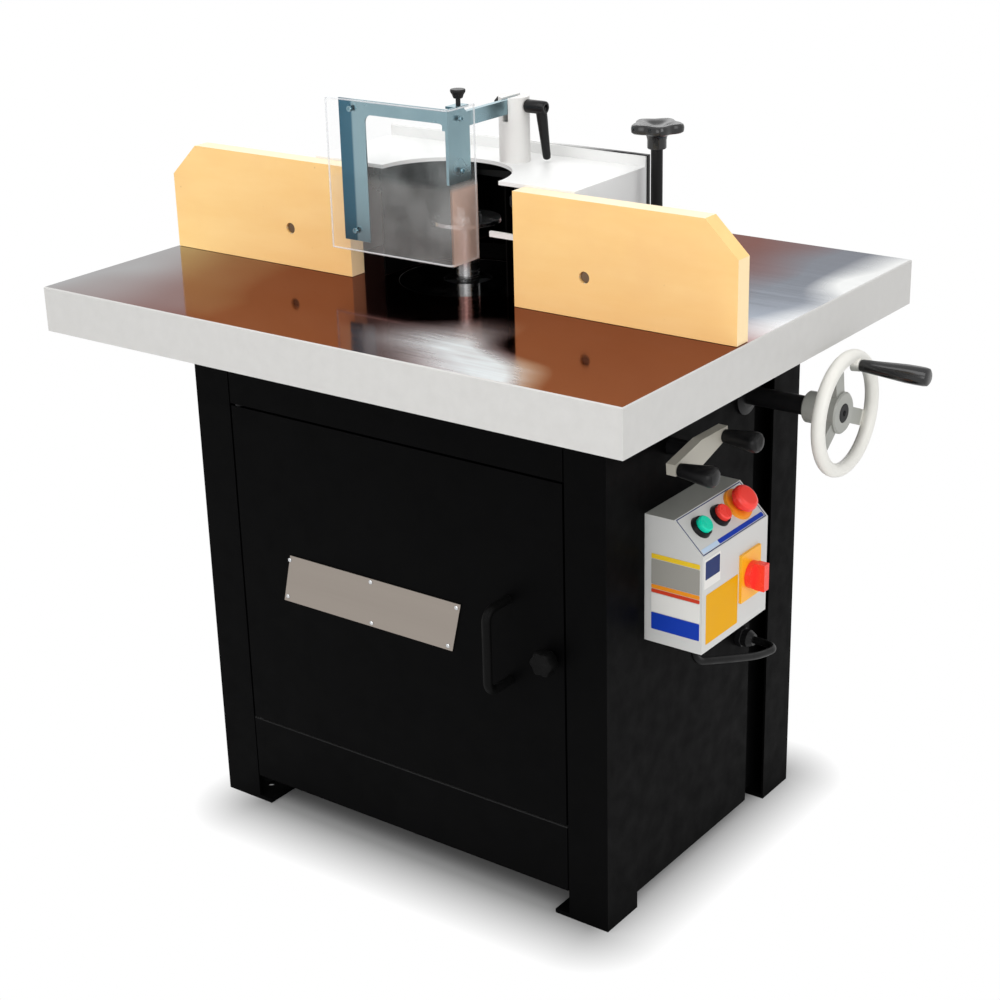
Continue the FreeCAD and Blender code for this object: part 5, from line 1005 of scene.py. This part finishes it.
heads("duct_screws", "hood", "black_steel", DUCT_SCREW,
      [(x, BACK_PLATE_Y, z) for x in DUCT_SCREW_PLACES for z in DUCT_SCREW_HEIGHTS], Y_AXIS)
heads("panel_screws", "frame", "cabinet_black", PANEL_SCREW,
      [(x, REAR_PANEL_Y, z) for z in PANEL_SCREW_HEIGHTS for x in PANEL_SCREW_PLACES], Y_AXIS)


# Louvres of the rear panel: a profile of height and share of the full bulge, fading to both ends
LOUVRE_ROWS = 9
LOUVRE_LOW = 470.0
LOUVRE_PITCH = 22.0
LOUVRE_HALF = 110.0
LOUVRE_OUT = 5.0
LOUVRE_STEPS = 24
LOUVRE_FADE = 0.4
LOUVRE_PROFILE = ((0.0, 0.0), (2.0, 0.55), (6.0, 1.0), (8.0, 0.85), (8.4, 0.0))

strip = len(LOUVRE_PROFILE)
louvre_faces = [(k * strip + n, (k + 1) * strip + n, (k + 1) * strip + n + 1, k * strip + n + 1)
                for k in range(LOUVRE_STEPS) for n in range(strip - 1)]
louvres = Shape()
for row in range(LOUVRE_ROWS):
    base = LOUVRE_LOW + LOUVRE_PITCH * row
    points = []
    for k in range(LOUVRE_STEPS + 1):
        x = LOUVRE_HALF * (2.0 * k / LOUVRE_STEPS - 1.0)
        bulge = sqrt(max(0.0, 1.0 - (x / LOUVRE_HALF) ** 2)) ** LOUVRE_FADE
        for rise, out_share in LOUVRE_PROFILE:
            points.append((x, REAR_PANEL_Y + LOUVRE_OUT * out_share * bulge, base + rise))
    louvres.add(points, louvre_faces)
louvres.piece("rear_louvres", "frame", "cabinet_black")


# Motor: fins all round but behind its lid, the lid with four screws, the wires of the fan grille
SPINDLE_Y = -57.5
MOTOR_X = -200.0
FIN_COUNT = 28
FIN_LOW = 205.0
FIN_HIGH = 405.0
FIN_PROFILE = ((88.0, -1.5), (97.0, -0.8), (97.0, 0.8), (88.0, 1.5))
FIN_SINE_LIMIT = 0.88
LID_HALF_X = 36.0
LID_HALF_Z = 41.0
LID_CORNER = 5.0
LID_RISE = 4.0
LID_Y = 77.5
LID_Z = 305.0
LID_SCREW = cap_screw(4.0, 3.0)
LID_SCREW_X = 28.0
LID_SCREW_Z = 33.0
GRILLE_Z = 139.0
GRILLE_RADII = (24.0, 38.0, 52.0, 66.0)
GRILLE_WIRE = 1.8
GRILLE_STEPS = 40
BOLT_REACH = 70.0
BOLT_RADIUS = 9.0
BOLT_HEIGHT = 7.0
FLANGE_TOP = 560.0

motor = Shape()
for angle in circle_steps(FIN_COUNT):
    if sin(angle) > FIN_SINE_LIMIT:
        continue
    out = Vector((cos(angle), sin(angle), 0.0))
    aside = Vector((-sin(angle), cos(angle), 0.0))
    motor.lofted([
        [Vector((MOTOR_X, SPINDLE_Y, z)) + out * reach + aside * half for reach, half in FIN_PROFILE]
        for z in (FIN_LOW, FIN_HIGH)])
lid_outline = rounded_box((-LID_HALF_X, -LID_HALF_Z), (LID_HALF_X, LID_HALF_Z), LID_CORNER)
motor.drawn(lid_outline, LID_RISE, (MOTOR_X, LID_Y, LID_Z), (-1, 0, 0), Z_AXIS)
for dx in (-LID_SCREW_X, LID_SCREW_X):
    for dz in (-LID_SCREW_Z, LID_SCREW_Z):
        motor.turned(LID_SCREW, (MOTOR_X + dx, LID_Y + LID_RISE, LID_Z + dz), Y_AXIS, 20)
for radius in GRILLE_RADII:
    motor.swept([(MOTOR_X + radius * cos(angle), SPINDLE_Y + radius * sin(angle), GRILLE_Z)
                 for angle in circle_steps(GRILLE_STEPS) + [2.0 * pi]], GRILLE_WIRE)
motor.piece("motor_fins", "lift", "motor_alloy")

flange_bolts = Shape()
for dx in (-BOLT_REACH, BOLT_REACH):
    for dy in (-BOLT_REACH, BOLT_REACH):
        place = (MOTOR_X + dx, SPINDLE_Y + dy, FLANGE_TOP)
        flange_bolts.drawn(hexagon(BOLT_RADIUS), BOLT_HEIGHT, place, X_AXIS, Y_AXIS)
flange_bolts.piece("motor_bolts", "lift", "bright_steel")


# Height drive: a threaded screw and a pair of toothed bevel gears on the CAD places
WHEEL_Y = 97.0
WHEEL_Z = 635.0
SCREW_AXIS = (0.0, WHEEL_Y, 0.0)
SHAFT_AXIS = (0.0, WHEEL_Y, WHEEL_Z)
LEAD = 5.0
THREAD_STEPS = 24
THREAD_START = 22.0
THREAD_END = 166.0
THREAD_LIFT = 2.0
THREAD_PROFILE = ((8.0, 0.0), (9.9, 0.8), (9.9, 2.2), (8.0, 3.0))
SCREW_FOOT = [(7.2, 0.0), (8.0, 0.8), (8.0, 20.3)]
SCREW_COLLAR = [(9.6, -1.6), (9.6, 0.0), (8.2, 1.0)]
SCREW_CORE_END = [(8.2, 0.0), (10.0, 1.0)]
GEAR_TEETH = 20
TOOTH_SHARE = 0.05
TOOTH_STEPS = 8
GEAR_START = 167.0
SCREW_GEAR_BACK = [(20.0, 0.0), (24.7, 0.6), (24.7, 2.0)]
SCREW_GEAR = [(24.7, 1.8), (24.7, 4.7), (9.7, 19.7), (6.0, 19.7)]
SCREW_END_START = 19.0
SCREW_END = [(8.0, -1.0), (7.0, 0.0)]
SHAFT_GEAR = [(6.0, 0.0), (10.0, 0.0), (25.0, 15.0), (25.0, 18.0)]
SHAFT_GEAR_BACK = [(25.0, 17.8), (25.0, 19.0), (20.0, 19.7)]
SHAFT_START = [(12.5, 19.0)]
SHAFT_END = [(12.5, -1.2), (11.6, 0.0), (4.2, 0.0), (1.0, -4.0)]


def tooth_rings(profile):
    """Rings drawn in so that the tips of the teeth keep the given radius."""
    return [(radius / (1.0 + TOOTH_SHARE), height) for radius, height in profile]


screw_low, screw_high = node_box("lead_screw")
thread_low = screw_low[2] + THREAD_START
thread_high = screw_low[2] + THREAD_END
gear_z = screw_low[2] + GEAR_START
thread_turns = (thread_high - thread_low) / LEAD - 1.0
thread_rings = []
for step in range(int(thread_turns * THREAD_STEPS) + 1):
    angle = 2.0 * pi * step / THREAD_STEPS
    base = thread_low + THREAD_LIFT + LEAD * step / THREAD_STEPS
    thread_rings.append([(radius * cos(angle), WHEEL_Y + radius * sin(angle), base + offset)
                         for radius, offset in THREAD_PROFILE])
screw_core = raised(SCREW_COLLAR, thread_low) + raised(SCREW_CORE_END, thread_high)
screw_end = [(SCREW_END[0][0], gear_z + SCREW_END_START)] + raised(SCREW_END, screw_high[2])
lead_screw = Shape()
lead_screw.turned(raised(SCREW_FOOT, screw_low[2]), SCREW_AXIS, Z_AXIS, 32)
lead_screw.turned(screw_core, SCREW_AXIS, Z_AXIS, 32)
lead_screw.lofted(thread_rings)
lead_screw.turned(raised(SCREW_GEAR_BACK, gear_z), SCREW_AXIS, Z_AXIS, 60)
lead_screw.turned(tooth_rings(raised(SCREW_GEAR, gear_z)), SCREW_AXIS, Z_AXIS, GEAR_TEETH * TOOTH_STEPS,
                  GEAR_TEETH, TOOTH_SHARE)
lead_screw.turned(screw_end, SCREW_AXIS, Z_AXIS, 32)
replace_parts(lead_screw.piece("threaded_screw", "screw", "bright_steel"), "lead_screw")

shaft_low, shaft_high = node_box("handwheel_shaft")
shaft = Shape()
shaft.turned(tooth_rings(raised(SHAFT_GEAR, shaft_low[0])), SHAFT_AXIS, X_AXIS, GEAR_TEETH * TOOTH_STEPS,
             GEAR_TEETH, TOOTH_SHARE, pi / GEAR_TEETH)
shaft.turned(raised(SHAFT_GEAR_BACK, shaft_low[0]), SHAFT_AXIS, X_AXIS, 60)
shaft.turned(raised(SHAFT_START, shaft_low[0]) + raised(SHAFT_END, shaft_high[0]), SHAFT_AXIS, X_AXIS, 48)
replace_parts(shaft.piece("wheel_shaft", "wheel", "black_steel"), "handwheel_shaft")


# Ribbed belt pulleys; each rib is a profile of depth and height
PULLEY_HUB = 16.0
PULLEY_RECESS = 4.0
PULLEY_FLANGE = 6.0
PULLEY_FLANGE_FOOT = 8.0
PULLEY_EASE = 0.8
PULLEY_TOP_LAND = 2.4
RIB_COUNT = 6
RIB_PITCH = 4.0
RIB_START = 3.0
RIB_PROFILE = ((0.0, 0.0), (0.0, 1.2), (1.8, 2.0), (1.8, 3.2))


def ribbed_pulley(name, node, body, x, radius):
    """A pulley with hollowed ends and ribs round its rim."""
    bottom, top = (corner[2] for corner in node_box(node))
    flange = radius - PULLEY_FLANGE
    foot = radius - PULLEY_FLANGE_FOOT
    profile = [(PULLEY_HUB, bottom + PULLEY_RECESS), (foot, bottom + PULLEY_RECESS), (flange, bottom),
               (radius - PULLEY_EASE, bottom)]
    for rib in range(RIB_COUNT):
        base = bottom + RIB_START + RIB_PITCH * rib
        profile += [(radius - depth, base + height) for depth, height in RIB_PROFILE]
    profile += [(radius, top - PULLEY_TOP_LAND), (radius - PULLEY_EASE, top), (flange, top),
                (foot, top - PULLEY_RECESS), (PULLEY_HUB, top - PULLEY_RECESS)]
    pulley = Shape().turned(profile, (x, SPINDLE_Y, 0.0), Z_AXIS, 64)
    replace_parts(pulley.piece(name, body, "casting_grey", angle=25.0), node)


ribbed_pulley("ribbed_spindle_pulley", "spindle_pulley", "spindle_unit", 0.0, radius=30.0)
ribbed_pulley("ribbed_motor_pulley", "motor_pulley", "motor_rotor", MOTOR_X, radius=50.0)


# Floor: the rectangle that keeps its shadow, how far the shadow fades beyond it, and the paper's tones; the
# tone the camera sees is darker, painted shadow
FLOOR_SIZE = 40.0
SHADE_MIDDLE_X = 0.022
SHADE_HALF_X = 0.282
SHADE_HALF_Y = 0.2375
SHADE_REACH = 0.105
FLOOR_LIT = (0.85, 0.85, 0.85)
PAINTED_SHADOW_TONE = (0.41, 0.41, 0.41)


def stage_plane(name, size, material):
    bpy.ops.mesh.primitive_plane_add(size=size)
    plane = bpy.context.active_object
    plane.name = name
    plane.data.materials.append(material)


def seen_rays(tree):
    """1 for the rays that show the background: to the camera, in reflections and through clear sheet."""
    rays = tree.nodes.new("ShaderNodeLightPath")
    direct = maths("MAXIMUM", rays.outputs["Is Camera Ray"], rays.outputs["Is Glossy Ray"])
    return maths("MAXIMUM", direct, rays.outputs["Is Transmission Ray"])


def beyond(value, half):
    """How far a coordinate lies outside plus and minus half."""
    size = maths("ABSOLUTE", value, 0.0)
    return maths("MAXIMUM", maths("SUBTRACT", size, half), 0.0)


def floor_finish():
    """White paper that keeps the shadow near the object, darkened there for the camera as painted shadow, and
    is plain white farther off.
    """
    material, tree, shader = new_material("floor_white")
    seen = seen_rays(tree)
    # Painted shadow: the camera sees a darker floor tone where the fade leaves the diffuse floor
    feed(shader, "Base Color", blend(seen, FLOOR_LIT, PAINTED_SHADOW_TONE))
    shader.inputs["Roughness"].default_value = 0.9
    shader.inputs["Specular IOR Level"].default_value = 0.0
    glow = tree.nodes.new("ShaderNodeEmission")
    x, y = place_parts(tree)[:2]
    beside = beyond(maths("SUBTRACT", x, SHADE_MIDDLE_X), SHADE_HALF_X)
    before = beyond(y, SHADE_HALF_Y)
    fade = rising(distance_to(beside, before, (0.0, 0.0)), 0.0, SHADE_REACH)
    mixer = tree.nodes.new("ShaderNodeMixShader")
    tree.links.new(product(seen, fade), mixer.inputs["Fac"])
    tree.links.new(shader.outputs["BSDF"], mixer.inputs[1])
    tree.links.new(glow.outputs["Emission"], mixer.inputs[2])
    tree.links.new(mixer.outputs["Shader"], tree.nodes["Material Output"].inputs["Surface"])
    return material


stage_plane("floor", FLOOR_SIZE, floor_finish())


# Light: a white surround that lights less than it shows, and five soft boxes
AMBIENT = 0.6
world = bpy.data.worlds.new("studio")
bpy.context.scene.world = world
world.use_nodes = True
sky = world.node_tree
background = sky.nodes["Background"]
sky_strength = spread(seen_rays(sky), AMBIENT, 1.0, 0.0, 1.0)
sky.links.new(sky_strength, background.inputs["Strength"])
background.inputs["Color"].default_value = (1.0, 1.0, 1.0, 1.0)


def soft_box(name, place, target, size, power):
    lamp = bpy.data.lights.new(name, "AREA")
    lamp.shape = "RECTANGLE"
    lamp.size, lamp.size_y = size
    lamp.energy = power
    holder = bpy.data.objects.new(name, lamp)
    holder.location = place
    holder.rotation_euler = (Vector(target) - Vector(place)).to_track_quat("-Z", "Y").to_euler()
    bpy.context.scene.collection.objects.link(holder)
    return holder


soft_box("key", (-0.4, -2.0, 3.2), (0.0, 0.0, 0.6), (2.6, 2.0), power=36.0)
soft_box("front", (0.9, -3.4, 1.2), (0.2, 0.0, 0.6), (2.2, 1.6), power=21.0)
soft_box("side", (3.2, -0.8, 1.8), (0.2, 0.0, 0.6), (1.8, 1.8), power=27.0)
soft_box("rear", (-1.6, 2.8, 2.6), (0.0, 0.0, 0.8), (2.2, 1.6), power=10.0)
top_lamp = soft_box("top", (0.0, 0.4, 3.4), (0.0, 0.0, 0.0), (2.6, 2.6), power=26.0)
# Keeps the image of this lamp out of the ground table top
top_lamp.visible_glossy = False


# Camera
camera_data = bpy.data.cameras.new("camera")
camera_data.lens = FOCAL_MM
camera_data.sensor_width = SENSOR_MM
camera_data.sensor_fit = "HORIZONTAL"
camera = bpy.data.objects.new("camera", camera_data)
bpy.context.scene.collection.objects.link(camera)
back = Vector((sin(AZIMUTH) * cos(ELEVATION), -cos(AZIMUTH) * cos(ELEVATION),
               sin(ELEVATION)))
level = (-back).cross(Vector(Z_AXIS)).normalized()
upright = level.cross(-back)
right = level * cos(ROLL) + upright * sin(ROLL)
up = upright * cos(ROLL) - level * sin(ROLL)
axes = Matrix((right, up, back)).transposed().to_4x4()
axes.translation = Vector(CAMERA_PLACE)
camera.matrix_world = axes
bpy.context.scene.camera = camera
bpy.context.scene.view_settings.view_transform = "Standard"

bpy.context.view_layer.update()
